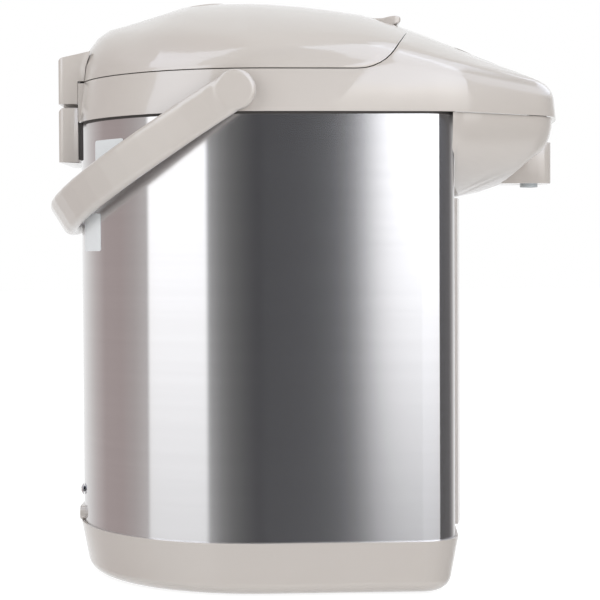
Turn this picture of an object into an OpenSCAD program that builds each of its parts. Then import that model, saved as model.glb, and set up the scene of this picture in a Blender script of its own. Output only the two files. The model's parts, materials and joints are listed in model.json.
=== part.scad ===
// Electric thermo pot: a lidded hot-water dispenser with a steel jacket, a carrying bail and a
// pump that lifts the water through a gauge tube to a nozzle under the beak.
// Frame: +Z up, +X towards the spout, origin on the floor under the axis of the round tank.

/* [Body] */
// Radius of the round rear half of the steel jacket
body_r = 103.5; // [98:0.5:110]
// Distance from the tank axis to the middle of the jacket's front face
front_x = 109.5; // [106:0.5:114]
// Radius of the jacket's two front corners
corner_r = 20; // [14:1:26]
// Distance from the middle plane to the centre of a front corner
corner_y = 79.2; // [74:0.5:84]
// Height of the rubber foot ring below the base
foot_h = 1; // [1:0.5:4]
// Height of the moulded base
base_h = 29; // [24:1:34]
// Height of the steel that shows between base and collar
jacket_h = 228.5; // [190:0.5:260]
// Thickness of the jacket's steel sheet
jacket_t = 0.8; // [0.6:0.1:1.2]
// Wall of the moulded shells
wall = 2.5; // [2:0.1:3]

/* [Head] */
// Height of the collar, from the steel to the lid seam
collar_h = 22.5; // [20:0.5:26]
// How far the collar's lower edge stands out from the steel
collar_flare = 3.4; // [3:0.1:4.5]
// Height of the lid's rear shoulder above the seam
shoulder_h = 34; // [30:0.5:38]
// Height of the lid's dome above the seam
dome_h = 47.5; // [44:0.5:52]
// Distance from the tank axis to the tip of the beak
beak_x = 170; // [160:1:180]
// Radius of the beak's front corners
nose_r = 24; // [18:1:28]
// Depth of the shell under the beak, where it meets the body
beak_drop = 42; // [36:1:48]
// Height of the beak's roof at its tip, above the collar's lower edge
tip_h = 16; // [13:0.5:20]

/* [Seam] */
// Where the lid seam leaves the horizontal
seam_x = 55; // [48:1:60]
// Radius of the seam's upward turn
seam_r = 24; // [18:1:28]
// Slope of the seam where it climbs over the roof
seam_tilt = 58; // [50:1:65]
// Gap between lid and collar
seam_gap = 0.6; // [0.4:0.1:1]

/* [Handle] */
// Distance of the bail's pivots behind the tank axis
pivot_back = 9.5; // [5:0.5:12]
// Height of the pivots above the collar's lower edge
pivot_rise = 11; // [10.5:0.5:11.5]
// Slope of the resting bail below the horizontal
bail_tilt = 31.8; // [30:0.2:33]
// How much further the middle of the grip lies from the pivots than the steel from its axis
bail_reach = 19.2; // [18.8:0.2:24]
// Height of the bail's band at the ears
ear_h = 20.4; // [18:0.2:20.8]
// Height of the bail's band at the grip
grip_h = 22.5; // [20:0.5:25]
// Thickness of the bail's arms
arm_t = 6.4; // [5.6:0.2:7]
// Thickness of the grip
grip_t = 8; // [7.4:0.2:9]
// Radius of the pivot stubs
stub_r = 4; // [3.5:0.1:4.4]

/* [Hinge] */
// Width of the hinge blocks at the back
hinge_w = 70; // [60:2:76]
// How far the hinge blocks stand out behind the steel
hinge_back = 9.5; // [9.2:0.1:10.5]
// Height of the hinge bracket on the body
bracket_h = 30.6; // [26:0.2:34]
// Height of the hinge axis above the collar's lower edge
axis_rise = 3.5; // [3:0.25:4]
// Radius of the hinge pin
pin_r = 2.5; // [2:0.1:3]
// Running clearance of pins in their bores
run_fit = 0.05; // [0.02:0.01:0.1]

/* [Tank] */
// Inner radius of the tank
tank_r = 81; // [76:0.5:83]
// Thickness of the tank's sheet
tank_t = 1; // [0.8:0.1:1.2]
// Height of the tank's floor above the floor the pot stands on
tank_z = 64; // [60:1:70]
// Thickness of the felt round the tank
felt_t = 5; // [4:0.5:6]

/* [Controls] */
// Length of the control panel along the slope of the beak
panel_l = 52; // [44:1:54]
// Width of the control panel
panel_w = 78; // [66:2:84]
// Travel of the buttons
button_travel = 1.2; // [0.8:0.1:1.6]
// Radius of the dispense button
pour_r = 9.5; // [8:0.5:11]

/* [Water path] */
// Distance from the tank axis to the pump and the tank's outlet
pump_x = 56; // [52:1:60]
// Inner radius of the water tubes
bore_r = 4; // [3:0.25:4.5]
// Wall of the silicone hoses
hose_t = 1.5; // [1.2:0.1:1.8]
// Distance from the tank axis to the nozzle
nozzle_x = 158.4; // [154:0.2:162]
// Half width of the front panel that carries the gauge
panel_half = 47; // [42:1:52]
// How far the front panel stands out from the jacket
panel_out = 7; // [5:0.5:8]

/* [Hidden] */
$fn = 72;

// ---- heights ----
base_z = foot_h;
jacket_z = base_z + base_h;
collar_z = jacket_z + jacket_h;
seam_z = collar_z + collar_h;
tuck = 4;                       // how deep the jacket's edges sit in the base and the collar
touch = 0.05;                   // gap between pieces of one body that lie against each other

hinge_rear = body_r + hinge_back;       // rear face of the hinge blocks behind the tank axis

// ---- plan outlines: lists of [x, y, normal angle] for the side y >= 0, front to rear ----
front_bow_r = 1500;             // bow of the jacket's front face
nose_bow_r = 260;               // bow of the beak's front
cheek_r = 40;                   // soft corners where the beak leaves the body
cheek_c = [front_x - 17.5, body_r - 45.5];
nose_y = 46;                    // centre of a nose corner from the middle plane

function arc(c, r, a0, a1, n, skip = 0) =
    [for (i = [skip:n]) let (a = a0 + (a1 - a0) * i / n) [c.x + r * cos(a), c.y + r * sin(a), a]];
function bow_centre(x, bow) = [x - bow, 0];
function corner_x(x, bow, r, y) = x - bow + sqrt(pow(bow - r, 2) - y * y);
function bow_end(bow, r, y) = asin(y / (bow - r));
function tangent_angle(c1, r1, c2, r2) =
    let (d = c2 - c1) atan2(d.y, d.x) + acos((r1 - r2) / norm(d));

corner_c = [corner_x(front_x, front_bow_r, corner_r, corner_y), corner_y];
body_side = tangent_angle([0, 0], body_r, corner_c, corner_r);
body_half = concat(
    arc(bow_centre(front_x, front_bow_r), front_bow_r, 0, bow_end(front_bow_r, corner_r, corner_y), 4),
    arc(corner_c, corner_r, bow_end(front_bow_r, corner_r, corner_y), body_side, 7, 1),
    arc([0, 0], body_r, body_side, 180, 22));

nose_c = [corner_x(beak_x, nose_bow_r, nose_r, nose_y), nose_y];
nose_slant = tangent_angle(cheek_c, cheek_r, nose_c, nose_r);
head_side = tangent_angle([0, 0], body_r, cheek_c, cheek_r);
head_half = concat(
    arc(bow_centre(beak_x, nose_bow_r), nose_bow_r, 0, bow_end(nose_bow_r, nose_r, nose_y), 5),
    arc(nose_c, nose_r, bow_end(nose_bow_r, nose_r, nose_y), nose_slant, 5, 1),
    arc(cheek_c, cheek_r, nose_slant, head_side, 5),
    [for (f = [0.2, 0.4, 0.6, 0.8])
        let (a = cheek_c + cheek_r * [cos(head_side), sin(head_side)],
             b = body_r * [cos(head_side), sin(head_side)])
        [a.x + (b.x - a.x) * f, a.y + (b.y - a.y) * f, head_side]],
    arc([0, 0], body_r, head_side, 180, 18));

function full(half) = let (n = len(half))
    concat(half, [for (i = [n - 2:-1:1]) [half[i].x, -half[i].y, -half[i][2]]]);
function grown(p, g) = [p.x + g * cos(p[2]), p.y + g * sin(p[2])];
function outline(half, g) = [for (p = full(half)) grown(p, g)];
module body_plate(g, z0, z1) {
    translate([0, 0, z0]) linear_extrude(z1 - z0) polygon(outline(body_half, g));
}

// ---- skins: closed polyhedra through rings of equal, mirror-symmetric length ----
module skin(rings) {
    n = len(rings[0]);
    m = len(rings);
    h = n / 2;
    points = [for (r = rings) each r];
    sides = [for (k = [0:m - 2], i = [0:n - 1]) let (j = (i + 1) % n)
        each [[k * n + i, k * n + n + i, k * n + n + j], [k * n + i, k * n + n + j, k * n + j]]];
    function cap(o) = concat([[o, o + 1, o + n - 1], [o + h - 1, o + h, o + h + 1]],
        [for (i = [1:h - 2]) each [[o + i, o + i + 1, o + n - i - 1], [o + i, o + n - i - 1, o + n - i]]]);
    polyhedron(points, concat(sides, cap(0), [for (f = cap((m - 1) * n)) [f[0], f[2], f[1]]]), convexity = 8);
}

// ---- head form: lid, collar and beak are cut from this one shape ----
rear_x = -body_r;
roof_line = [                   // height of the roof over the middle plane
    [rear_x - 8, seam_z + shoulder_h - 1], [rear_x + 14, seam_z + shoulder_h],
    [rear_x + 24, seam_z + shoulder_h + 0.6], [rear_x + 33, seam_z + shoulder_h + 1.5],
    [rear_x + 40, seam_z + shoulder_h + 4.5], [rear_x + 47, seam_z + shoulder_h + 7.6],
    [rear_x + 58, seam_z + dome_h - 2.4], [rear_x + 70, seam_z + dome_h - 0.7],
    [-20, seam_z + dome_h - 0.1], [-5, seam_z + dome_h], [12, seam_z + dome_h - 0.8],
    [30, seam_z + dome_h - 2.6], [48, seam_z + dome_h - 5.2], [66, seam_z + dome_h - 8.4],
    [beak_x - 81, seam_z + dome_h - 17], [beak_x - 58, seam_z + dome_h - 26.1],
    [beak_x - 33, collar_z + tip_h + 17.6], [beak_x - 12, collar_z + tip_h + 7],
    [beak_x + 4, collar_z + tip_h - 1]];
crown_line = [                  // fall of the roof at crown_y to the side
    [rear_x, 17], [rear_x + 40, 29], [-30, 24], [-10, 22], [26, 20], [beak_x - 82, 15],
    [beak_x - 55, 14], [beak_x - 32, 11], [beak_x - 11, 7], [beak_x, 5]];
crown_y = 80;
edge_line = [[rear_x, 25], [-40, 22], [20, 18], [80, 12], [beak_x - 60, 8], [beak_x, 8]];
edge_drop = 8;                  // least height of the rounding between wall and roof
flare_line = [[60, collar_flare], [beak_x - 40, 1.4]];
wall_lean = 0.6;                // how far the wall stands out at the seam
ridge_x = beak_x - 44;          // front end of the line that the roof closes on

function roof(p) = lookup(p.x, roof_line) - lookup(p.x, crown_line) * pow(p.y / crown_y, 2);
function ridge(p) = [max(0, min(p.x, ridge_x)), 0];
function inward(p, d, f) =
    let (v = ridge(p) - p, l = norm(v), t = d + (l - d) * f) p + v * (t / l);
function wall_top(p) = min(seam_z, roof(p) - edge_drop);

// One ring of the head form, w inside its outer skin; q turns the edge, f runs on over the roof.
function edge_ring(w, q, f = 0) = [for (h = full(head_half))
    let (p = grown(h, wall_lean - w), e = lookup(h.x, edge_line), r = inward(p, e * (1 - cos(q)), f),
         z0 = wall_top(p))
    [r.x, r.y, z0 + (roof(r) - w - z0) * sin(q)]];
function skirt_ring(w, z) = [for (h = full(head_half))
    let (p = grown(h, lookup(h.x, flare_line) - w)) [p.x, p.y, z]];
module head_form(w = 0) {
    skin(concat([skirt_ring(w, collar_z - (w > 0 ? 1 : 0))],
        [for (q = [0, 18, 36, 54, 72, 90]) edge_ring(w, q)],
        [for (f = [0.2, 0.42, 0.64, 0.8, 0.9]) edge_ring(w, 90, f)]));
}

// Side view of the seam between lid and collar, moved down and forward by d.
seam_c = [seam_x, seam_z + seam_r];
function seam_curve(d) = concat([[-200, seam_z - d]],
    [for (a = [0:seam_tilt / 6:seam_tilt]) seam_c + (seam_r + d) * [sin(a), -cos(a)]],
    [seam_c + (seam_r + d) * [sin(seam_tilt), -cos(seam_tilt)] + 60 * [cos(seam_tilt), sin(seam_tilt)]]);
module along_y(half) {
    rotate([90, 0, 0]) linear_extrude(2 * half, center = true) children();
}
module below_seam(d) {
    along_y(200) polygon(concat(seam_curve(d), [[300, seam_z + 80], [300, 0], [-200, 0]]));
}
module above_seam(d) {
    along_y(200) polygon(concat(seam_curve(d), [[60, seam_z + 120], [-200, seam_z + 120]]));
}

// ---- plates with round corners ----
module round_rect(l, w, r) {
    polygon([for (c = [[1, 1], [-1, 1], [-1, -1], [1, -1]])
        each [for (k = [0:4])
            let (a = atan2(c.y, c.x) - 45 + 22.5 * k)
            [c.x * (l / 2 - r) + r * cos(a), c.y * (w / 2 - r) + r * sin(a)]]]);
}

// ================= base =================
base_round = 7;                 // rounding of the base's lower edge
base_flare = 1.8;               // how far the base's top edge stands out
base_taper = 0.19;              // how fast its wall narrows downwards
base_in = 2.2;                  // its wall at the top edge
plate_r = body_r - 34;          // opening of the base that the bottom plate closes
rim_step = 8;                   // ledge that the bottom plate is screwed to
floor_t = 3.5;                  // thickness of the base's floor
plate_t = 1.5;                  // thickness of the bottom plate
plate_gap = 0.3;                // gap round the bottom plate
ledge_h = 3;                    // height of the ledge under the jacket
ledge_in = 4;                   // width of that ledge
foot_r = body_r - 20;           // outer radius of the rubber ring that the pot stands on
foot_w = 8;                     // width of that ring
foot_seat = 1.5;                // depth of its groove
screw_r = 1.6;
screw_head_r = 3;
screw_head_t = 0.8;
screw_places = [for (a = [0, 90, 180, 270]) (plate_r - rim_step / 2) * [cos(a), sin(a)]];

function round_in(r, h) = h < r ? r - sqrt(max(0, pow(r, 2) - pow(r - h, 2))) : 0;
function base_grow(z) = base_flare - (jacket_z - z) * base_taper - round_in(base_round, z - base_z);
module base_skin(w, z0, z1) {
    levels = concat([for (q = [0:18:90]) z0 + base_round * (1 - cos(q))], [z1]);
    skin([for (z = levels) [for (p = full(body_half))
        let (g = grown(p, base_grow(min(z, jacket_z)) - w)) [g.x, g.y, z]]]);
}
module base_shell() {
    color("#cfc9c1") difference() {
        base_skin(0, base_z, jacket_z);
        difference() {
            base_skin(base_in, base_z + floor_t, jacket_z + 1);
            difference() {
                body_plate(5, jacket_z - tuck - ledge_h, jacket_z - tuck);
                body_plate(-ledge_in, 0, jacket_z + 2);
            }
        }
        body_plate(touch, jacket_z - tuck, jacket_z + 1);
        cylinder(r = plate_r - rim_step, h = base_z + floor_t + 1);
        cylinder(r = plate_r, h = base_z + plate_t);
        difference() {
            cylinder(r = foot_r + touch, h = base_z + foot_seat);
            cylinder(r = foot_r - foot_w - touch, h = 2 * base_z + foot_seat);
        }
        for (p = screw_places) translate([p.x, p.y, 0]) cylinder(r = screw_r, h = base_z + floor_t + 1);
    }
}
module base_plate() {
    vent_l = 36;
    vent_w = 3;
    color("#b9b4ac") difference() {
        translate([0, 0, base_z]) cylinder(r = plate_r - plate_gap, h = plate_t - touch);
        for (p = screw_places) translate([p.x, p.y, 0]) cylinder(r = screw_r + 0.1, h = 10);
        for (x = [-26, 26], i = [-3:3])
            translate([x - vent_l / 2, i * 2.4 * vent_w - vent_w / 2, 0]) cube([vent_l, vent_w, 10]);
    }
}
module foot_ring() {
    top = base_z + foot_seat - touch;
    color("#4a4846") rotate_extrude()
        polygon([[foot_r - foot_w + 1, 0], [foot_r - 1, 0], [foot_r, 1], [foot_r, top],
                 [foot_r - foot_w, top], [foot_r - foot_w, 1]]);
}
module base_screws() {
    color("#9a9a9c") for (p = screw_places) translate([p.x, p.y, base_z - screw_head_t]) {
        cylinder(r = screw_head_r, h = screw_head_t - touch);
        cylinder(r = screw_r - touch, h = screw_head_t + floor_t);
    }
}
socket_w = 44;
socket_h = 7.8;
socket_z = jacket_z + socket_h / 2 + 0.3;   // middle height of the power socket
socket_back = body_r + 0.7;       // rear face of the power socket
socket_deep = 12;
module socket_prism(grow, x0, len) {
    translate([x0, 0, socket_z]) rotate([0, 90, 0])
        linear_extrude(len) round_rect(socket_h + 2 * grow, socket_w + 2 * grow, 3 + grow);
}
module socket_cut(grow) { socket_prism(grow, -socket_back - 6, socket_deep + 8); }
socket_screw_y = [-20, 20];
screw_z = jacket_z + 18;
module screw_bore(y) {
    translate([-body_r - 5, y, screw_z]) rotate([0, 90, 0]) cylinder(r = screw_r, h = 30);
}

// ================= jacket, chassis, tank =================
gauge_slot = 26;                // width of the jacket's slot behind the front panel
panel_z0 = jacket_z + 0.8;
panel_z1 = collar_z - beak_drop - 2.4;
jacket_z0 = jacket_z - tuck;
jacket_z1 = collar_z + tuck;
module steel_jacket() {
    color("#b9b9bb") difference() {
        body_plate(0, jacket_z0 + touch, jacket_z1);
        body_plate(-jacket_t, 0, jacket_z1 + 1);
        translate([body_r * 0.6, -gauge_slot / 2, panel_z0 + 10.2]) cube([100, gauge_slot, 300]);
        translate([body_r * 0.6, -panel_half + 4, collar_z - beak_drop + 10])
            cube([100, 2 * panel_half - 8, 300]);
        socket_cut(touch);
        for (y = socket_screw_y) screw_bore(y);
    }
}
chassis_t = 1.2;
chassis_z = jacket_z0 + chassis_t;      // top face of the chassis plate
motor_r = 15;
pump_r = 21;
module chassis_plate() {
    color("#a7a9ab") difference() {
        body_plate(-jacket_t - 0.3, jacket_z0 + touch, chassis_z);
        translate([pump_x, 0, 0]) cylinder(r = 5, h = 100);
        for (y = [-62, 62], x = [-40, 0, 40]) translate([x, y, 0]) cylinder(r = 9, h = 100);
        translate([-body_r - 10, -socket_w / 2 - 4, 0]) cube([30, socket_w + 8, 100]);
    }
}
rod_r = 2.5;
tank_out = tank_r + tank_t;
rod_ring = (tank_out + felt_t + body_r - jacket_t) / 2;    // midway between felt and steel
deck_z = seam_z - 11;                   // top of the deck round the mouth
deck_t = 2.5;
seal_t = 1.5;
flange_z = deck_z - deck_t - seal_t;    // top of the tank's flange
module tie_rods() {
    color("#8d9094") for (a = [62, 118, 242, 298])
        translate([rod_ring * cos(a), rod_ring * sin(a), chassis_z + touch])
            cylinder(r = rod_r, h = deck_z - deck_t - chassis_z - 2 * touch);
}
tank_round = 12;
nipple_r = bore_r + 1.5;
nipple_z = tank_z - 10;
rod_clear = 1.35;                // gap between the tank's seal and the rods
seal_lip = 1;                    // how far the seal laps over the flange
seal_w = 5;                      // width of the seal
flange_r = rod_ring - rod_r - rod_clear - seal_lip;
tank_joint = tank_z - tank_t + tank_round;      // weld between the tank's wall and its floor
module inner_tank() {
    color("#c9cbce") rotate_extrude() polygon([
        [tank_out, tank_joint + touch], [tank_out, flange_z - tank_t], [flange_r, flange_z - tank_t],
        [flange_r, flange_z], [tank_r, flange_z], [tank_r, tank_joint + touch]]);
}
module tank_floor() {
    color("#c9cbce") difference() {
        union() {
            rotate_extrude() polygon(concat(
                [[0, tank_z - tank_t]],
                [for (a = [0:15:90]) [tank_out - tank_round + tank_round * sin(a),
                    tank_joint - tank_round * cos(a)]],
                [for (a = [90:-15:0]) [tank_r - (tank_round - tank_t) * (1 - sin(a)),
                    tank_joint - (tank_round - tank_t) * cos(a)]],
                [[0, tank_z]]));
            translate([pump_x, 0, nipple_z]) cylinder(r = nipple_r, h = tank_z - nipple_z - tank_t / 2);
        }
        translate([pump_x, 0, nipple_z - 1]) cylinder(r = bore_r, h = 20);
    }
}
module tank_seal() {
    color("#d8d4cc") translate([0, 0, flange_z]) difference() {
        cylinder(r = flange_r + seal_lip, h = seal_t);
        translate([0, 0, -1]) cylinder(r = flange_r + seal_lip - seal_w, h = seal_t + 2);
    }
}
module insulation_felt() {
    z0 = tank_z + tank_round;
    color("#e6e2da") translate([0, 0, z0]) difference() {
        cylinder(r = tank_out + felt_t, h = flange_z - tank_t - 3 - z0);
        translate([0, 0, -1]) cylinder(r = tank_out + touch, h = 300);
        translate([gauge_x, 0, -1]) cylinder(r = valve_r + 0.5, h = 300);
    }
}
heater_z = tank_z - tank_t - touch;     // top of what presses against the tank's floor
heater_t = 5;
module heater_ring() {
    color("#7c7f83") difference() {
        union() {
            translate([0, 0, heater_z - heater_t]) cylinder(r = pump_x - nipple_r - hose_t - 5, h = heater_t);
            for (y = [-30, 30]) translate([-20, y, heater_z - heater_t - 7]) cylinder(r = 2.5, h = 8);
        }
        translate([0, 0, heater_z - heater_t - 1]) cylinder(r = 20, h = heater_t + 2);
    }
}
module thermostat() {
    color("#d9c9a4") translate([0, -7, heater_z]) {
        translate([0, 0, -2]) cylinder(r = 9, h = 2);
        translate([0, 0, -10]) cylinder(r = 7.5, h = 8);
        for (y = [-4, 4]) translate([-0.4, y - 2, -15]) cube([0.8, 4, 6]);
    }
}
module temperature_sensor() {
    color("#3a3d42") translate([0, 12, heater_z]) {
        translate([0, 0, -4]) cylinder(r = 4, h = 4);
        translate([0, 0, -10]) cylinder(r = 2, h = 7);
    }
}

// ================= pump and water path =================
pump_z0 = chassis_z + touch;            // the pump's skirt stands on the chassis
magnet_z = pump_z0 + 2;
magnet_t = 3;
pump_floor = magnet_z + magnet_t + 1.4; // underside of the pump's chamber wall
chamber_z = pump_floor + 2;
chamber_h = 9;
pump_top = chamber_z + chamber_h + 2;
chamber_r = 17;
shaft_r = 1.5;
outlet_z = chamber_z + chamber_h / 2;
inlet_top = nipple_z - 1;
gauge_x = front_x - 8.5;                // axis of the gauge tube
gauge_r = bore_r + 1.2;
riser_x = pump_x + pump_r + 8;          // end of the pump's outlet
gauge_z0 = outlet_z + nipple_r + hose_t + 2;
module at_pump(z = 0) { translate([pump_x, 0, z]) children(); }
module along_x(x0, z, r, len) { translate([x0, 0, z]) rotate([0, 90, 0]) cylinder(r = r, h = len); }
module inlet_hose() {
    z0 = pump_top + 1;
    color("#e9e6df") at_pump() difference() {
        translate([0, 0, z0]) cylinder(r = nipple_r + hose_t, h = nipple_z + 6 - z0);
        translate([0, 0, z0 - 1]) cylinder(r = nipple_r + touch, h = 30);
    }
}
module pump_housing() {
    color("#d7d9d6") {
        difference() {
            union() {
                at_pump(pump_z0) cylinder(r = pump_r, h = pump_top - pump_z0);
                at_pump(pump_top - 1) cylinder(r = nipple_r, h = inlet_top - pump_top + 1);
                along_x(pump_x + chamber_r, outlet_z, nipple_r, riser_x - pump_x - chamber_r);
            }
            at_pump(pump_z0 - 1) cylinder(r = motor_r + 2, h = pump_floor - pump_z0 + 1);
            at_pump(chamber_z) cylinder(r = chamber_r, h = chamber_h);
            at_pump(chamber_z) cylinder(r = bore_r, h = 40);
            along_x(pump_x + 6, outlet_z, bore_r, 60);
        }
        at_pump(chamber_z - 0.5) cylinder(r = shaft_r, h = chamber_h - 0.5);
    }
}
module pump_impeller() {
    z0 = chamber_z + 1;
    hub_r = 4;
    vane_r = chamber_r - 2;
    color("#8fa3ad") at_pump() difference() {
        union() {
            translate([0, 0, z0]) cylinder(r = vane_r, h = 1.5);
            translate([0, 0, z0]) cylinder(r = hub_r, h = chamber_h - 2.5);
            for (a = [0:60:300]) rotate([0, 0, a]) translate([hub_r - 1, -0.6, z0 + 1])
                cube([vane_r - hub_r, 1.2, chamber_h - 4]);
        }
        translate([0, 0, z0 - 1]) cylinder(r = shaft_r + run_fit, h = 20);
    }
}
motor_z = base_z + floor_t + 2.5;
module motor_magnet() {
    color("#54565a") at_pump() {
        translate([0, 0, magnet_z]) cylinder(r = motor_r - 1, h = magnet_t);
        translate([0, 0, motor_z + 4]) cylinder(r = shaft_r, h = magnet_z - motor_z - 3);
    }
}
module pump_motor() {
    color("#9b9ea2") at_pump() difference() {
        union() {
            translate([0, 0, motor_z]) cylinder(r = motor_r, h = jacket_z0 - motor_z);
            translate([0, 0, motor_z - 2]) cylinder(r = 5, h = 3);
            for (a = [45, 225]) rotate([0, 0, a]) translate([0, 0, jacket_z0 - 2])
                linear_extrude(2) round_rect(2 * motor_r + 12, 10, 4.9);
        }
        translate([0, 0, motor_z + 3]) cylinder(r = shaft_r + run_fit, h = 40);
    }
}
module riser_hose() {
    r = nipple_r + hose_t;
    x0 = riser_x - 7;
    color("#e9e6df") difference() {
        union() {
            along_x(x0, outlet_z, r, gauge_x - x0);
            translate([gauge_x, 0, outlet_z]) sphere(r = r);
            translate([gauge_x, 0, outlet_z]) cylinder(r = r, h = gauge_z0 + 8 - outlet_z);
        }
        along_x(x0 - 1, outlet_z, nipple_r + touch, gauge_x - x0 + 1);
        translate([gauge_x, 0, outlet_z]) sphere(r = nipple_r + touch);
        translate([gauge_x, 0, outlet_z]) cylinder(r = nipple_r + touch, h = 60);
    }
}
valve_r = 9;
ball_r = 4.8;
valve_z = collar_z - 26;                // lower end of the valve body
valve_seat = valve_z + 9;
valve_top = collar_z - 3;
pipe_z = valve_top - 8.5;               // height of the pipe to the nozzle
module gauge_tube() {
    color("#dfeef2", 0.4) translate([gauge_x, 0, gauge_z0]) difference() {
        cylinder(r = gauge_r, h = valve_z + 7 - gauge_z0);
        translate([0, 0, -1]) cylinder(r = bore_r, h = 300);
    }
}
module valve_body() {
    color("#dcd8d0") translate([gauge_x, 0, 0]) difference() {
        union() {
            translate([0, 0, valve_z]) cylinder(r = valve_r, h = valve_top - valve_z);
            along_x(0, pipe_z, nipple_r, valve_r + 9);
        }
        translate([0, 0, valve_z - 1]) cylinder(r = gauge_r + touch, h = 8.2);
        translate([0, 0, valve_z]) cylinder(r = 3.4, h = 20);
        translate([0, 0, valve_seat]) cylinder(r = ball_r + 0.5, h = 12);
        along_x(0, pipe_z, bore_r, 30);
    }
}
ball_lift = sqrt(pow(ball_r, 2) - pow(3.4, 2));
module valve_ball() {
    color("#c7cacc") translate([gauge_x, 0, valve_seat + ball_lift + 0.02]) sphere(r = ball_r);
}
nozzle_r = 5.2;
nozzle_z = collar_z - 36.9;             // mouth of the nozzle
block_z = nozzle_z + 1.9;               // underside of the nozzle housing
block_x0 = nozzle_x - 18.4;
block_x1 = nozzle_x + 11.9;
block_half = 15;
block_top = collar_z - 11;
module spout_pipe() {
    r = nipple_r + hose_t;
    x0 = gauge_x + valve_r + 1;
    z0 = block_z + 5;
    color("#e9e6df") difference() {
        union() {
            along_x(x0, pipe_z, r, nozzle_x - x0);
            translate([nozzle_x, 0, pipe_z]) sphere(r = r);
            translate([nozzle_x, 0, z0]) cylinder(r = r, h = pipe_z - z0);
        }
        along_x(x0 - 1, pipe_z, nipple_r + touch, nozzle_x - x0 + 1);
        translate([nozzle_x, 0, pipe_z]) sphere(r = nipple_r + touch);
        translate([nozzle_x, 0, z0 - 1]) cylinder(r = nipple_r + touch, h = pipe_z - z0 + 1);
    }
}
module nozzle_tip() {
    color("#cfd6d4") translate([nozzle_x, 0, 0]) difference() {
        union() {
            translate([0, 0, nozzle_z]) cylinder(r = nozzle_r, h = 12);
            translate([0, 0, block_z + 2.2]) cylinder(r = nozzle_r + 1.5, h = 2);
        }
        translate([0, 0, nozzle_z - 1]) cylinder(r = bore_r, h = 20);
    }
}
module block_plan(grow) {
    r = 9 + grow;
    polygon(concat([[block_x0 - grow, -block_half - grow]],
        [for (a = [-90:15:0]) [block_x1 - 9 + r * cos(a), -block_half + 9 + r * sin(a)]],
        [for (a = [0:15:90]) [block_x1 - 9 + r * cos(a), block_half - 9 + r * sin(a)]],
        [[block_x0 - grow, block_half + grow]]));
}
module nozzle_housing() {
    color("#cdc8c0") difference() {
        translate([0, 0, block_z]) linear_extrude(block_top - block_z) block_plan(0);
        translate([0, 0, block_z + 2]) linear_extrude(block_top) block_plan(-2);
        translate([nozzle_x, 0, block_z - 1]) cylinder(r = nozzle_r + touch, h = 5);
        along_x(block_x0 - 1, pipe_z, nipple_r + hose_t + touch, 5);
    }
}

// ================= front panel and gauge =================
panel_bow_r = 250;
window_w = 15;
window_z0 = panel_z0 + 24.2;
window_z1 = panel_z1 - 14;
module panel_plan(in, half) {
    c = front_x + panel_out - panel_bow_r;
    a1 = asin(half / panel_bow_r);
    r = panel_bow_r - in;
    polygon(concat([for (i = [-6:6]) [c + r * cos(a1 * i / 6), r * sin(a1 * i / 6)]],
        [for (i = [4:-1:-4]) let (y = half * i / 4)
            [front_x - front_bow_r + sqrt(pow(front_bow_r, 2) - y * y) + touch, y]]));
}
module panel_band(in0, in1, half) {
    c = front_x + panel_out - panel_bow_r;
    a1 = asin(half / panel_bow_r);
    r0 = panel_bow_r - in0;
    r1 = panel_bow_r - in1;
    polygon(concat([for (i = [-3:3]) [c + r0 * cos(a1 * i / 3), r0 * sin(a1 * i / 3)]],
        [for (i = [3:-1:-3]) [c + r1 * cos(a1 * i / 3), r1 * sin(a1 * i / 3)]]));
}
rebate = 1.5;                   // rim of the window's rebate
module front_panel() {
    color("#cfc9c1") difference() {
        translate([0, 0, panel_z0]) linear_extrude(panel_z1 - panel_z0) panel_plan(0, panel_half);
        translate([0, 0, window_z0 - rebate - 3]) linear_extrude(window_z1 - window_z0 + 2 * rebate + 6)
            panel_band(wall, 40, window_w / 2 + rebate + 3);
        translate([100, -window_w / 2, window_z0]) cube([50, window_w, window_z1 - window_z0]);
        translate([0, 0, window_z0 - rebate]) linear_extrude(window_z1 - window_z0 + 2 * rebate)
            panel_band(wall / 2, 40, window_w / 2 + rebate);
    }
}
module gauge_window() {
    gap = 0.15;
    color("#e8f1f2", 0.35) {
        translate([0, 0, window_z0 + gap]) linear_extrude(window_z1 - window_z0 - 2 * gap)
            panel_band(0.2, wall - 0.1, window_w / 2 - gap);
        translate([0, 0, window_z0 - rebate + gap]) linear_extrude(window_z1 - window_z0 + 2 * (rebate - gap))
            panel_band(wall / 2 + touch, wall - 0.1, window_w / 2 + rebate - gap);
    }
}

// ================= electrics =================
module power_board() {
    z0 = chassis_z + touch;
    post_h = 6;
    color("#3f6b4a") translate([65.5 - body_r, 0, z0]) {
        translate([-30, -46, post_h]) cube([60, 92, 1.6]);
        for (x = [-26, 26], y = [-42, 42]) translate([x, y, 0]) cylinder(r = 3, h = post_h + 1);
        translate([-22, -36, post_h + 1]) cube([22, 26, 14]);
        translate([8, -34, post_h + 1]) cube([14, 18, 12]);
        translate([-10, 8, post_h + 1]) cylinder(r = 8, h = 14);
        translate([14, 26, post_h + 1]) cylinder(r = 6, h = 11);
        for (y = [-6, 6, 16]) translate([12, y, post_h + 1]) cube([9, 6, 6]);
        translate([-26, 22, post_h + 1]) cube([14, 12, 8]);
    }
}
pin_y = 9;
module power_socket() {
    color("#cfc9c1") difference() {
        union() {
            socket_prism(0, -socket_back, socket_deep);
            translate([-socket_back + socket_deep - 2, -socket_screw_y[1] - 5, socket_z - 6])
                cube([2, 2 * socket_screw_y[1] + 10, screw_z - socket_z + 12]);
        }
        translate([-socket_back - 1, 0, socket_z]) rotate([0, 90, 0])
            linear_extrude(socket_deep - 2.5) round_rect(socket_h - 2.6, socket_w - 4, 2);
        for (y = [-pin_y, pin_y]) along_socket(y, 1.6, 30);
        for (y = socket_screw_y) screw_bore(y);
    }
}
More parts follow.
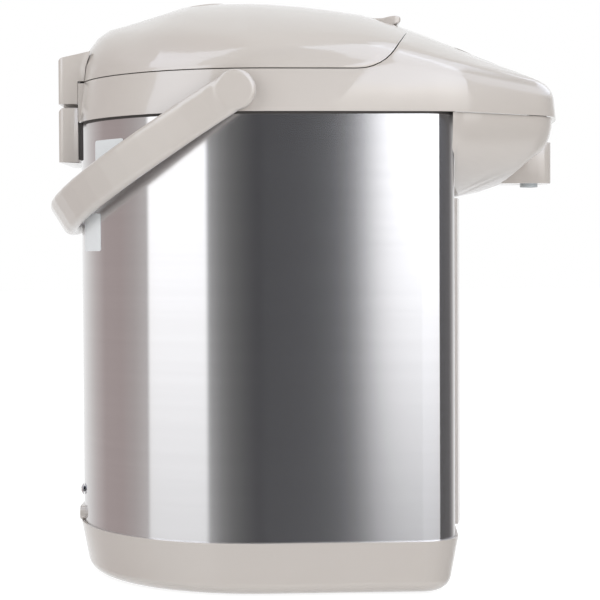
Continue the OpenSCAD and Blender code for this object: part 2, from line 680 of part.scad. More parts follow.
module along_socket(y, r, len) {
    translate([-socket_back + 3, y, socket_z]) rotate([0, 90, 0]) cylinder(r = r, h = len);
}
module socket_pins() {
    color("#c9b37a") for (y = [-pin_y, pin_y]) along_socket(y, 1.6 - touch, socket_deep + 3);
}
module socket_screws() {
    dome_r = 3.2;
    ball = 4.2;
    x = -sqrt(pow(body_r, 2) - pow(socket_screw_y[1] - dome_r, 2)) - touch;
    color("#d0d1d3") for (y = socket_screw_y) translate([x, y, screw_z]) {
        intersection() {
            translate([sqrt(pow(ball, 2) - pow(dome_r, 2)), 0, 0]) sphere(r = ball);
            translate([-8, -8, -8]) cube([8, 16, 16]);
        }
        rotate([0, 90, 0]) cylinder(r = screw_r - touch, h = 9);
    }
}

// ================= collar and beak =================
mouth_r = tank_r + 3.3;                 // bore of the collar above the deck
lip_r = tank_r + 1.3;                   // bore of the deck itself
notch_half = hinge_w / 2 + 0.5;
notch_x = hinge_rear - 11.5;            // inner wall of the hinge notch, behind the axis
panel_tilt = 24.4;
panel_x = beak_x - 36;
panel_drop = 4;
fascia_t = 2.2;
tray_t = 2;
panel_z = roof([panel_x, 0]) - panel_drop;
module on_panel(depth = 0) {
    translate([panel_x, 0, panel_z]) rotate([0, panel_tilt, 0]) translate([0, 0, depth]) children();
}
bolt_half = 8;
bolt_z = seam_z + 13.5;
bolt_t = 5;
module collar() {
    color("#d2cdc5") difference() {
        union() {
            intersection() {
                head_form();
                union() {
                    difference() {
                        below_seam(0);
                        head_form(wall);
                    }
                    difference() {
                        body_plate(0.5, deck_z - deck_t, deck_z);
                        cylinder(r = lip_r, h = 400);
                    }
                    difference() {
                        below_seam(0);
                        below_seam(wall);
                        translate([-200, -200, 0]) cube([seam_x + 200, 400, 400]);
                    }
                    difference() {
                        intersection() {
                            translate([0, 0, deck_z - 1]) cylinder(r = mouth_r + wall, h = 60);
                            below_seam(0);
                            translate([-20, -200, 0]) cube([200, 400, 400]);
                        }
                        cylinder(r = lip_r, h = 400);
                    }
                    on_panel(-fascia_t - tray_t) linear_extrude(12) round_rect(panel_l + 5, panel_w + 5, 9);
                    for (s = [-1, 1]) at_pivots() rotate([-90 * s, 0, 0])
                        translate([0, 0, stub_root - 2]) cylinder(r = stub_r + 2.5, h = 20);
                    translate([-notch_x, -notch_half - 2.5, deck_z - deck_t])
                        cube([2.5, 2 * notch_half + 5, 11 + deck_t]);
                }
            }
        }
        translate([0, 0, deck_z]) cylinder(r = mouth_r, h = 100);
        body_plate(touch, 0, jacket_z1 + touch);
        on_panel(-fascia_t) linear_extrude(30) round_rect(panel_l + 0.6, panel_w + 0.6, 6.3);
        on_panel(-12) linear_extrude(30) round_rect(panel_l - 8, panel_w - 8, 4);
        translate([-hinge_rear - 5, -notch_half, 0]) cube([hinge_rear + 5 - notch_x, 2 * notch_half, 400]);
        translate([mouth_r - 6, -bolt_half - 0.8, bolt_z - 0.8])
            cube([14, 2 * bolt_half + 1.6, bolt_t + 1.6]);
        for (s = [-1, 1]) at_pivots() rotate([-90 * s, 0, 0])
            translate([0, 0, stub_root]) cylinder(r = stub_r + touch, h = 40);
    }
}
shell_in = 0.6;
shell_top = collar_z - 0.15;
depth_line = [
    [90, beak_drop + 2], [beak_x - 55, beak_drop + 0.5], [beak_x - 43, beak_drop - 2],
    [beak_x - 32, beak_drop - 6], [beak_x - 21, beak_drop * 0.62], [beak_x - 13, beak_drop * 0.47],
    [beak_x - 7, beak_drop * 0.41], [beak_x, beak_drop * 0.37]];
bulge_line = [[90, 70], [beak_x - 40, 58], [beak_x - 20, 30], [beak_x - 5, 10], [beak_x, 10]];
shell_x0 = front_x - 4;
function shell_ring(w, q, f = 0) = [for (h = full(head_half))
    let (p = grown(h, -shell_in - w), r = inward(p, lookup(h.x, bulge_line) * (1 - cos(q)), f))
    [r.x, r.y, shell_top - (lookup(r.x, depth_line) - w) * sin(q)]];
module shell_skin(w) {
    skin(concat(
        [for (f = [0.85, 0.5, 0.2]) shell_ring(w, 90, f)],
        [for (q = [90:-18:18]) shell_ring(w, q)],
        [[for (p = shell_ring(w, 0)) [p.x, p.y, shell_top + (w > 0 ? 1 : 0)]]]));
}
module spout_shell() {
    color("#cdc8c0") difference() {
        shell_skin(0);
        shell_skin(wall);
        translate([-200, -200, 0]) cube([200 + shell_x0, 400, 400]);
        body_plate(0.15, 0, 400);
        linear_extrude(400) block_plan(0.15);
    }
}

// ================= control panel =================
button_rise = 0.8;
button_gap = 0.25;
button_deep = fascia_t + tray_t - button_travel - 0.1;
row_x = 11;                             // lower row of the panel
key_l = 12;
key_w = 15;
key_y = 26;
select_y = key_y;
select_x = -12;
display_l = 19;
display_w = 42;
display_y = -8;
module key_hole(x, y, grow) {
    translate([x, y]) round_rect(key_l + 2 * grow, key_w + 2 * grow, 3 + grow);
}
module control_fascia() {
    color("#bdb8b0") on_panel() difference() {
        translate([0, 0, -fascia_t + touch]) linear_extrude(fascia_t - touch) round_rect(panel_l, panel_w, 6);
        translate([0, 0, -5]) linear_extrude(9) union() {
            key_hole(row_x, key_y, button_gap);
            key_hole(row_x, -key_y, button_gap);
            key_hole(select_x, select_y, button_gap);
        }
        translate([row_x, 0, -5]) cylinder(r = pour_r + button_gap, h = 9);
        translate([select_x, display_y, -1.2]) linear_extrude(5)
            round_rect(display_l + 0.2, display_w + 0.2, 2.1);
    }
}
module display_window() {
    color("#3c4a44") on_panel() translate([select_x, display_y, -1.2 + touch])
        linear_extrude(1.2) round_rect(display_l, display_w, 2);
}
module control_board() {
    color("#3f6b4a") on_panel(-fascia_t - tray_t - 1.6 - touch) linear_extrude(1.6)
        round_rect(panel_l - 2, panel_w - 2, 3);
}
module key_button(x, y) {
    color("#e2ded6") on_panel() {
        translate([0, 0, -button_deep]) linear_extrude(button_deep + button_rise) key_hole(x, y, 0);
        translate([0, 0, -button_deep]) linear_extrude(0.5) key_hole(x, y, 1);
    }
}
module pour_button() {
    color("#a9a49c") on_panel() translate([row_x, 0, -button_deep]) {
        cylinder(r = pour_r, h = button_deep + button_rise);
        cylinder(r = pour_r + 1, h = 0.5);
    }
}
module unlock_button() { key_button(row_x, -key_y); }
module reboil_button() { key_button(row_x, key_y); }
module select_button() { key_button(select_x, select_y); }

// ================= hinge =================
hinge_x = -hinge_rear + 5;
hinge_z = collar_z + axis_rise;
knuckle_r = hinge_back - 5 - 0.3;             // clears the steel by 0.3
tongue_half = hinge_w / 4;
bracket_top = hinge_z + 4.6;
bracket_x1 = -notch_x - 0.3;
module along_hinge(r, half) {
    translate([hinge_x, 0, hinge_z]) rotate([90, 0, 0]) cylinder(r = r, h = 2 * half, center = true);
}
module hinge_plan(x1) {
    r = 3;
    polygon(concat([for (a = [180:18:270]) [-hinge_rear + r + r * cos(a), -hinge_w / 2 + r + r * sin(a)]],
        [[x1, -hinge_w / 2], [x1, hinge_w / 2]],
        [for (a = [90:18:180]) [-hinge_rear + r + r * cos(a), hinge_w / 2 - r + r * sin(a)]]));
}
module hinge_bracket() {
    color("#cfc9c1") difference() {
        translate([0, 0, bracket_top - bracket_h]) linear_extrude(bracket_h) hinge_plan(bracket_x1);
        translate([0, 0, 0]) cylinder(r = body_r + 0.15, h = jacket_z1 + 0.3);
        translate([-hinge_rear - 1, -tongue_half - 0.4, hinge_z - knuckle_r - 1.5])
            cube([30, 2 * tongue_half + 0.8, 60]);
        along_hinge(pin_r + run_fit, hinge_w / 2 - 2);
        translate([-hinge_rear, 0, bracket_top]) rotate([90, 45, 0]) cube([3, 3, 200], center = true);
    }
}
module hinge_pin() { color("#b4b6b9") along_hinge(pin_r, hinge_w / 2 - 2.1); }
block_z0 = bracket_top + 2.3;
module lid_hinge_block() {
    r = 3;
    back = -hinge_rear;
    rear_h = seam_z + 14.2;
    color("#cfc9c1") difference() {
        union() {
            difference() {
                intersection() {
                    along_y(hinge_w / 2) polygon(concat([[back, block_z0]],
                        [for (a = [180:-15:105]) [back + r + r * cos(a), rear_h - r + r * sin(a)]],
                        [[back + 19, rear_h + 3.6], [back + 19, seam_z + seam_gap + 0.1],
                         [bracket_x1, seam_z + seam_gap + 0.1], [bracket_x1, block_z0]]));
                    linear_extrude(400) hinge_plan(0);
                }
                rotate_extrude() polygon(concat([[0, 0], [body_r + collar_flare, 0]],
                    [for (q = [0:15:90]) [body_r + wall_lean + touch - edge_line[0][1] * (1 - cos(q)),
                        seam_z + (shoulder_h + 0.3) * sin(q)]], [[0, seam_z + shoulder_h]]));
            }
            translate([hinge_x - knuckle_r, -tongue_half, hinge_z])
                cube([2 * knuckle_r, 2 * tongue_half, block_z0 - hinge_z + 1]);
            along_hinge(knuckle_r, tongue_half);
        }
        along_hinge(pin_r + run_fit, 60);
    }
}

// ================= lid =================
well_x0 = beak_x - 112.5;
well_x1 = beak_x - 84;
well_half = 24.5;
well_z = seam_z + 26.5;
well_t = 1.5;
vent_x = -34;
vent_r = 16;
module lid_cover() {
    color("#d2cdc5") difference() {
        union() {
            intersection() {
                head_form();
                above_seam(-seam_gap);
                union() {
                    difference() {
                        above_seam(-seam_gap);
                        head_form(wall);
                    }
                    translate([well_x0 - well_t, -well_half - well_t, well_z - well_t])
                        cube([well_x1 - well_x0 + 2 * well_t, 2 * well_half + 2 * well_t, 60]);
                }
            }
        }
        intersection() {
            translate([well_x0, -well_half, well_z]) cube([well_x1 - well_x0, 2 * well_half, 60]);
            above_seam(-seam_gap - wall);
        }
        translate([post_x - bolt_travel - 0.6, -post_half - 0.6, well_z - well_t - 1])
            cube([bolt_travel + post_t + 1.2, 2 * post_half + 1.2, well_t + 2]);
        along_lever(lever_pin_r, well_half + 1);
        translate([vent_x, 0, seam_z + 20]) cylinder(r = vent_r, h = 60);
    }
}
module steam_vent() {
    slot_w = 2.2;
    rise = 0.5;
    r = vent_r - 0.3;
    color("#c4bfb7") translate([vent_x, 0, roof([vent_x, 0])]) rotate([0, -7, 0]) difference() {
        rotate_extrude() polygon([[0, -wall], [r, -wall], [r, rise - 0.9], [r - 0.9, rise], [0, rise]]);
        for (i = [-2:2]) translate([i * 5 - slot_w / 2, -10, -5]) cube([slot_w, 20, 10]);
    }
}
liner_r = mouth_r - 1.1;
liner_t = 2;
cup_r = tank_r - 2;
cup_z = flange_z - 4;
rail_x0 = 60;                   // the bolt's rails inside the liner
rail_l = liner_r - 3.2 - rail_x0;
module lid_liner() {
    color("#dedbd4") difference() {
        union() {
            intersection() {
                head_form(wall + 0.3);
                above_seam(-seam_gap);
                below_seam(-seam_gap - liner_t);
            }
            intersection() {
                translate([0, 0, deck_z + 1]) cylinder(r = liner_r, h = 60);
                below_seam(-seam_gap - liner_t);
            }
            translate([0, 0, cup_z]) cylinder(r = cup_r, h = deck_z + 1 - cup_z + 1);
            translate([rail_x0, -bolt_half - 4, bolt_z - 4]) cube([rail_l, 2 * bolt_half + 8, 4 - touch]);
            for (y = [-1, 1]) translate([rail_x0, y * (bolt_half + 2.1) - 1.9, bolt_z - 1])
                cube([rail_l, 3.8, bolt_t]);
            translate([rail_x0, -bolt_half - 4, deck_z + 2]) cube([rail_l, 2 * bolt_half + 8, 2]);
            for (y = [-1, 1]) translate([rail_x0 + 2, y * (bolt_half + 2.1) - 1, deck_z + 2])
                cube([rail_l - 4, 2, bolt_z - deck_z - 3]);
        }
        difference() {
            translate([0, 0, deck_z + 1 + liner_t]) cylinder(r = liner_r - liner_t, h = 60);
            translate([rail_x0 - 0.1, -bolt_half - 4.1, deck_z])
                cube([rail_l + 0.2, 2 * bolt_half + 8.2, 40]);
        }
        translate([0, 0, cup_z + liner_t]) cylinder(r = cup_r - liner_t, h = deck_z - cup_z - liner_t + 3);
        translate([50, -bolt_half - 0.2, bolt_z - touch]) cube([60, 2 * bolt_half + 0.4, bolt_t + 0.2]);
        translate([well_x0 - well_t - 0.3, -well_half - well_t - 0.3, well_z - well_t - 0.3])
            cube([well_x1 - well_x0 + 2 * well_t + 0.6, 2 * (well_half + well_t + 0.3), 60]);
        for (i = [-2:2]) translate([-45 + i * 6, -9, 0]) cube([2.4, 18, cup_z + 5]);
    }
}
module lid_gasket() {
    z0 = cup_z + 0.8;
    color("#e8e6e0") rotate_extrude() polygon([
        [cup_r + touch, z0], [cup_r + 1.5, z0 + 0.4], [cup_r + 1, z0 + 1.2],
        [cup_r + 1.5, z0 + 2], [cup_r + 0.9, z0 + 2.8], [cup_r + touch, z0 + 2.8]]);
}
lever_x = well_x0 + 5.5;
lever_z = well_z + 6;
lever_pin_r = 1.5;
lever_half = well_half - 0.5;
module along_lever(r, half) {
    translate([lever_x, 0, lever_z]) rotate([90, 0, 0]) cylinder(r = r, h = 2 * half, center = true);
}
module lever_pin() { color("#b4b6b9") along_lever(lever_pin_r - touch, well_half + 0.9); }
module release_lever() {
    top = seam_z + 41;
    tip_x = well_x1 - 2;
    color("#cbc6be") difference() {
        union() {
            intersection() {
                along_y(lever_half) polygon([
                    [lever_x - 3, lever_z - 1], [lever_x - 1, lever_z - 3], [lever_x + 2, lever_z - 3],
                    [lever_x + 6, lever_z - 0.8], [tip_x - 8, top - 7.8], [tip_x - 3.6, top - 7.2],
                    [tip_x - 2.1, top - 5.9], [tip_x - 1.8, top - 4.4], [tip_x - 2.6, top - 2.9],
                    [tip_x - 4.4, top - 2.6], [tip_x - 8, top - 2.9], [tip_x - 12, top - 3.9],
                    [tip_x - 16.5, top - 4.1], [lever_x, top - 3.4], [lever_x - 2.5, top - 4.6]]);
                translate([(lever_x - 3 + tip_x) / 2, 0, 0])
                    linear_extrude(400) round_rect(tip_x - lever_x + 3, 2 * lever_half, 5);
            }
            for (s = [-1, 1]) translate([lever_x + 5, s * (post_half + 2.2) - 1.2, well_z + 1])
                cube([7, 2.4, lever_z + 1.5 - well_z]);
        }
        along_lever(lever_pin_r + run_fit, 60);
    }
}
bolt_x0 = 58;
bolt_travel = 5;
post_x = lever_x + 7;           // post that stands between the lever's cheeks
post_t = 3;
post_half = 4;
bolt_x1 = mouth_r - 0.8;         // the nose stops short of the collar's ring
module latch_bolt() {
    color("#d9d6cf") difference() {
        union() {
            translate([bolt_x0, -bolt_half, bolt_z]) cube([bolt_x1 - bolt_x0, 2 * bolt_half, bolt_t]);
            translate([post_x, -post_half, bolt_z + bolt_t / 2])
                cube([post_t, 2 * post_half, well_z + 2.2 - bolt_z - bolt_t / 2]);
        }
        translate([bolt_x1, -20, bolt_z + 2]) rotate([0, 55, 0]) cube([8, 40, 8]);
    }
}

// ================= bail handle =================
pivot_z = collar_z + pivot_rise;
ear_out = 0.25;                 // how far the round ears stand proud of the arms
bail_half = body_r + collar_flare + 0.3 + arm_t / 2;   // arms clear the collar by 0.3 all the way
bail_length = body_r + bail_reach;
module at_pivots() { translate([-pivot_back, 0, pivot_z]) children(); }
stub_root = body_r - 4.5;
module pivot_stubs() {
    reach = bail_half + arm_t / 2 - 2;
    color("#bdb8b0") for (s = [-1, 1]) at_pivots() rotate([-90 * s, 0, 0])
        translate([0, 0, stub_root + touch]) cylinder(r = stub_r, h = reach - stub_root);
}
function bail_point(f) = [bail_length * sin(f), bail_half * cos(f)];
function bail_normal(f) = let (n = [bail_half * sin(f), bail_length * cos(f)]) n / norm(n);
function bail_ring(f, side) =
    let (p = bail_point(f), n = bail_normal(f), k = pow(sin(f), 2),
         t = (arm_t + (grip_t - arm_t) * k) / 2, h = (ear_h + (grip_h - ear_h) * sqrt(k)) / 2,
         r = 2.6 + 1.2 * k)
    [for (c = [[1, 1], [-1, 1], [-1, -1], [1, -1]], q = [0, 30, 60, 90])
        let (a = atan2(c.y, c.x) - 45 + q, o = c.x * (t - r) + r * cos(a), w = c.y * (h - r) + r * sin(a),
             u = p.x + n.x * o, v = p.y + n.y * o)
        [-u * cos(bail_tilt) - w * sin(bail_tilt), side * v, -u * sin(bail_tilt) + w * cos(bail_tilt)]];
module handle() {
    steps = 13;
    rings = concat([for (i = [0:steps]) bail_ring(90 * i / steps, 1)],
        [for (i = [steps - 1:-1:0]) bail_ring(90 * i / steps, -1)]);
    n = len(rings[0]);
    m = len(rings);
    color("#cdc7bf") at_pivots() difference() {
        union() {
            polyhedron([for (r = rings) each r], concat(
                [for (k = [0:m - 2], i = [0:n - 1]) let (j = (i + 1) % n)
                    each [[k * n + i, k * n + j, k * n + n + j], [k * n + i, k * n + n + j, k * n + n + i]]],
                [[for (i = [n - 1:-1:0]) i]], [[for (i = [0:n - 1]) (m - 1) * n + i]]), convexity = 8);
            for (s = [-1, 1]) translate([0, s * (bail_half + ear_out), 0]) rotate([90, 0, 0])
                cylinder(r = ear_h / 2 + 2 * ear_out, h = arm_t, center = true);
        }
        for (s = [-1, 1]) translate([0, s * (bail_half - arm_t / 2 - 1), 0]) rotate([-90 * s, 0, 0])
            cylinder(r = stub_r + run_fit, h = arm_t - 1.5 + 1);
    }
}

base_shell();
base_plate();
foot_ring();
base_screws();
steel_jacket();
chassis_plate();
tie_rods();
inner_tank();
tank_floor();
tank_seal();
insulation_felt();
heater_ring();
thermostat();
temperature_sensor();
inlet_hose();
pump_housing();
pump_impeller();
motor_magnet();
pump_motor();
riser_hose();
gauge_tube();
gauge_window();
front_panel();
valve_body();
valve_ball();
spout_pipe();
power_board();
power_socket();
socket_pins();
socket_screws();
collar();
spout_shell();
nozzle_housing();
nozzle_tip();
control_fascia();
display_window();
control_board();
pour_button();
unlock_button();
reboil_button();
select_button();
hinge_bracket();
hinge_pin();
pivot_stubs();
lid_cover();
lid_liner();
lid_gasket();
lid_hinge_block();
steam_vent();
lever_pin();
release_lever();
latch_bolt();
handle();
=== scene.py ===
"""Looks of an electric thermo pot: steel jacket, moulded plastic head, bail, keys and water path.

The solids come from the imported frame. Each sub-assembly of the pot is a class that makes the pieces
it adds or smooths and dresses them. All sizes are in metres unless a name says degrees.
"""
import json
import logging
import math
from dataclasses import dataclass, field
from enum import Enum
from typing import Callable, ClassVar, Dict, List, Optional, Sequence, Tuple, Union

import bpy
from mathutils import Matrix, Vector

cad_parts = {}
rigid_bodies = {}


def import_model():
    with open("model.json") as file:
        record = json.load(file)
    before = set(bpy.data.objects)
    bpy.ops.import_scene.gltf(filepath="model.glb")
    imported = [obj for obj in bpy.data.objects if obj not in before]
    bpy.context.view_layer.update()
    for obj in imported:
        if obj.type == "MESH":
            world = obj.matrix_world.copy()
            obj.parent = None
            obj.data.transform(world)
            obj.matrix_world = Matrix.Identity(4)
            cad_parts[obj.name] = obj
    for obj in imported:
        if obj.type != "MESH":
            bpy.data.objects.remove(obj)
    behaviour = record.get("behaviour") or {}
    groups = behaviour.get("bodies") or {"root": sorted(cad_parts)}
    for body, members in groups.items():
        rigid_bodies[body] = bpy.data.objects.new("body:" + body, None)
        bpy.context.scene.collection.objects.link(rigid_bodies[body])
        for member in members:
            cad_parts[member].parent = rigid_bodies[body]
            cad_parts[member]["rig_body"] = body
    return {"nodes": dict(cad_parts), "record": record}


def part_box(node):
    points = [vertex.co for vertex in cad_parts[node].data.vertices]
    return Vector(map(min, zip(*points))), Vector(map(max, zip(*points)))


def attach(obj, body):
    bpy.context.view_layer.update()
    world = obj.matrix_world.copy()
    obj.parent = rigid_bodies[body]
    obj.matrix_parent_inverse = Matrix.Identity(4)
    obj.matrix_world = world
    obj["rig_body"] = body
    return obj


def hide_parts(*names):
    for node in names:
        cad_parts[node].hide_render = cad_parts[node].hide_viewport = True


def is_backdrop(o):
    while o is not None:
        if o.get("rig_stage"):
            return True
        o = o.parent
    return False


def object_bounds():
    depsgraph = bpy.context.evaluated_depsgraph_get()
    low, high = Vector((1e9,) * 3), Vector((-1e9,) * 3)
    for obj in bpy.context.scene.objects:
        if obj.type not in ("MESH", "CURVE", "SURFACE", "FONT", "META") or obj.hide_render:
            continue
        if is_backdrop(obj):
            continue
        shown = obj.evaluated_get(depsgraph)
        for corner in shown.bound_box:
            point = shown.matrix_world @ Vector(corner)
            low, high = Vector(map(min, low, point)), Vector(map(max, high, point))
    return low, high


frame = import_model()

log = logging.getLogger("thermo_pot")
Colour = Tuple[float, float, float]
Number = Union[float, bpy.types.NodeSocket]
Tint = Union[Colour, bpy.types.NodeSocket]
ORIGIN = Vector((0.0, 0.0, 0.0))
UP = (0.0, 0.0, 1.0)
WELD = 0.00001
ROUND_CREASE = 40.0
FACES_UP = 0.9


# ---------------------------------------------------------------- hand tools

def as_linear(red: int, green: int, blue: int) -> Colour:
    """Turns a display colour into the linear colour that a shader takes.

    Args:
        red: red, 0 to 255.
        green: green, 0 to 255.
        blue: blue, 0 to 255.

    Returns:
        The linear colour.
    """
    def channel(value: float) -> float:
        """Undoes the display curve of one channel."""
        value /= 255.0
        return value / 12.92 if value <= 0.04045 else ((value + 0.055) / 1.055) ** 2.4
    return channel(red), channel(green), channel(blue)


def settle() -> None:
    """Leaves edit mode and deselects everything."""
    if bpy.context.object is not None and bpy.context.object.mode != "OBJECT":
        bpy.ops.object.mode_set(mode="OBJECT")
    bpy.ops.object.select_all(action="DESELECT")


def take(piece: bpy.types.Object) -> None:
    """Makes a piece the only selected and the active one.

    Args:
        piece: the piece.
    """
    settle()
    piece.select_set(True)
    bpy.context.view_layer.objects.active = piece


def edit(piece: bpy.types.Object, everything: bool = True) -> None:
    """Opens a piece in edit mode.

    Args:
        piece: the piece.
        everything: whether all of it is selected, or nothing.
    """
    take(piece)
    bpy.ops.object.mode_set(mode="EDIT")
    bpy.ops.mesh.select_all(action="SELECT" if everything else "DESELECT")


def pick_faces(piece: bpy.types.Object, wanted: Callable[[bpy.types.MeshPolygon], bool]) -> None:
    """Selects the faces that pass a test and opens the piece in edit mode.

    Args:
        piece: the piece.
        wanted: says whether a face is taken.
    """
    edit(piece, everything=False)
    bpy.ops.mesh.select_mode(type="FACE")
    bpy.ops.object.mode_set(mode="OBJECT")
    for face in piece.data.polygons:
        face.select = wanted(face)
    bpy.ops.object.mode_set(mode="EDIT")


def place_into_mesh(piece: bpy.types.Object) -> None:
    """Moves a piece's place into its mesh, so that its object sits at the origin.

    Args:
        piece: the piece.
    """
    take(piece)
    bpy.ops.object.transform_apply(location=True, rotation=True, scale=True)
    settle()


def apply_modifier(piece: bpy.types.Object, kind: str, **values: object) -> None:
    """Adds a modifier and applies it.

    Args:
        piece: the piece that gets it.
        kind: the modifier's type.
        values: its settings by name.
    """
    take(piece)
    modifier = piece.modifiers.new(kind.lower(), kind)
    for name, value in values.items():
        setattr(modifier, name, value)
    bpy.ops.object.modifier_apply(modifier=modifier.name)
    settle()


def shade(piece: bpy.types.Object, crease_degrees: float) -> None:
    """Shades a piece smoothly up to a crease angle.

    Args:
        piece: the piece.
        crease_degrees: the angle from which an edge stays sharp.
    """
    take(piece)
    bpy.ops.object.shade_smooth_by_angle(angle=math.radians(crease_degrees))
    settle()


def copied(piece: bpy.types.Object, name: str) -> bpy.types.Object:
    """Copies a piece with a mesh of its own.

    Args:
        piece: what is copied.
        name: the copy's name.

    Returns:
        The copy.
    """
    twin = bpy.data.objects.new(name, piece.data.copy())
    bpy.context.scene.collection.objects.link(twin)
    return twin


def merged_copy(node: str, name: str) -> bpy.types.Object:
    """Copies a node, merges its loose triangles into one skin and leaves it open in edit mode.

    Args:
        node: the node.
        name: the copy's name.

    Returns:
        The copy, with all of it selected.
    """
    piece = copied(frame["nodes"][node], name)
    edit(piece)
    bpy.ops.mesh.remove_doubles(threshold=WELD)
    return piece


def block(name: str, low: Sequence[float], high: Sequence[float], edge: float,
          steps: int) -> bpy.types.Object:
    """Makes a block with rounded edges between two corners.

    Args:
        name: its name.
        low: its lowest corner.
        high: its highest corner.
        edge: how wide its edges are rounded.
        steps: the faces across each rounding.

    Returns:
        The block.
    """
    first, last = Vector(low), Vector(high)
    settle()
    bpy.ops.mesh.primitive_cube_add(size=1.0, location=0.5 * (first + last))
    piece = bpy.context.object
    piece.name = name
    piece.scale = last - first
    place_into_mesh(piece)
    edit(piece)
    bpy.ops.mesh.bevel(offset=edge, segments=steps, affect="EDGES")
    settle()
    return piece


def joined(pieces: Sequence[bpy.types.Object], name: str) -> bpy.types.Object:
    """Joins pieces into the first of them and renames it.

    Args:
        pieces: what is joined.
        name: the joined piece's name.

    Returns:
        The joined piece.
    """
    settle()
    for piece in pieces:
        piece.select_set(True)
    bpy.context.view_layer.objects.active = pieces[0]
    bpy.ops.object.join()
    pieces[0].name = name
    settle()
    return pieces[0]


def repeated(piece: bpy.types.Object, steps: Sequence[Sequence[float]], name: str) -> bpy.types.Object:
    """Copies a piece by some steps and joins the copies to it.

    Args:
        piece: what repeats, at its first place.
        steps: how far each copy stands from it.
        name: the joined piece's name.

    Returns:
        The joined piece.
    """
    pieces = [piece]
    for step in steps:
        twin = copied(piece, name + "_copy")
        twin.location = step
        place_into_mesh(twin)
        pieces.append(twin)
    return joined(pieces, name)


def put_on(piece: bpy.types.Object, material: bpy.types.Material) -> None:
    """Gives a piece one material all over."""
    piece.data.materials.clear()
    piece.data.materials.append(material)


# ---------------------------------------------------------------- shader groups

class Nodes:
    """A small writer of node trees: it adds nodes in rows and links their sockets."""

    ROW = 8
    SPACING = (220, -260)

    def __init__(self, tree: bpy.types.NodeTree) -> None:
        """Starts on an empty tree.

        Args:
            tree: the tree.
        """
        self.tree = tree
        self.count = 0
        tree.nodes.clear()

    def add(self, kind: str, **values: object) -> bpy.types.Node:
        """Adds a node.

        Args:
            kind: its type without the leading ShaderNode.
            values: its properties by name.

        Returns:
            The new node.
        """
        full = kind if kind.startswith("NodeGroup") else "ShaderNode" + kind
        node = self.tree.nodes.new(full)
        row, place = divmod(self.count, self.ROW)
        node.location = (self.SPACING[0] * place, self.SPACING[1] * row)
        self.count += 1
        for name, value in values.items():
            setattr(node, name, value)
        return node

    def link(self, source: bpy.types.NodeSocket, target: bpy.types.NodeSocket) -> None:
        """Links two sockets."""
        self.tree.links.new(source, target)

    def feed(self, value: Number, socket: bpy.types.NodeSocket) -> None:
        """Links a socket to a socket, or writes a number on it.

        Args:
            value: the number, or the socket that gives it.
            socket: the socket that takes it.
        """
        if isinstance(value, bpy.types.NodeSocket):
            self.link(value, socket)
        else:
            socket.default_value = float(value)

    def blend(self, factor: bpy.types.NodeSocket, first: Tint, second: Tint) -> bpy.types.NodeSocket:
        """Mixes two colours.

        Args:
            factor: how much of the second one shows.
            first: the first colour, or the socket that gives it.
            second: the second one.

        Returns:
            The mixed colour's socket.
        """
        node = self.add("Mix", data_type="RGBA")
        self.link(factor, node.inputs[0])
        for colour, socket in ((first, node.inputs[6]), (second, node.inputs[7])):
            if isinstance(colour, bpy.types.NodeSocket):
                self.link(colour, socket)
            else:
                socket.default_value = (*colour, 1.0)
        return node.outputs[2]

    def maths(self, operation: str, first: Number, second: Number = 0.0) -> bpy.types.NodeSocket:
        """Adds a Math node and gives its output.

        Args:
            operation: what it does.
            first: its first number or socket.
            second: its second number or socket.

        Returns:
            The output socket.
        """
        node = self.add("Math", operation=operation)
        self.feed(first, node.inputs[0])
        self.feed(second, node.inputs[1])
        return node.outputs[0]

    def noise(self, vector: bpy.types.NodeSocket, scale: Number, detail: float = 2.0,
              roughness: float = 0.5) -> bpy.types.NodeSocket:
        """Adds a Noise Texture and gives its factor.

        Args:
            vector: where it is read.
            scale: its scale.
            detail: its octaves.
            roughness: how much the fine octaves weigh.

        Returns:
            The factor socket.
        """
        node = self.add("TexNoise")
        node.inputs["Detail"].default_value = detail
        node.inputs["Roughness"].default_value = roughness
        self.feed(scale, node.inputs["Scale"])
        self.link(vector, node.inputs["Vector"])
        return node.outputs[0]

    def spread(self, value: bpy.types.NodeSocket, low: Number, high: Number, start: float = 0.3,
               end: float = 0.7, soft: bool = False) -> bpy.types.NodeSocket:
        """Maps a range of a value to another one.

        Args:
            value: the value.
            low: the result at the start.
            high: the result at the end.
            start: where the range starts.
            end: where it ends.
            soft: whether the ends are eased.

        Returns:
            The result's socket.
        """
        node = self.add("MapRange", interpolation_type="SMOOTHSTEP" if soft else "LINEAR")
        self.link(value, node.inputs["Value"])
        node.inputs["From Min"].default_value = start
        node.inputs["From Max"].default_value = end
        self.feed(low, node.inputs["To Min"])
        self.feed(high, node.inputs["To Max"])
        return node.outputs[0]


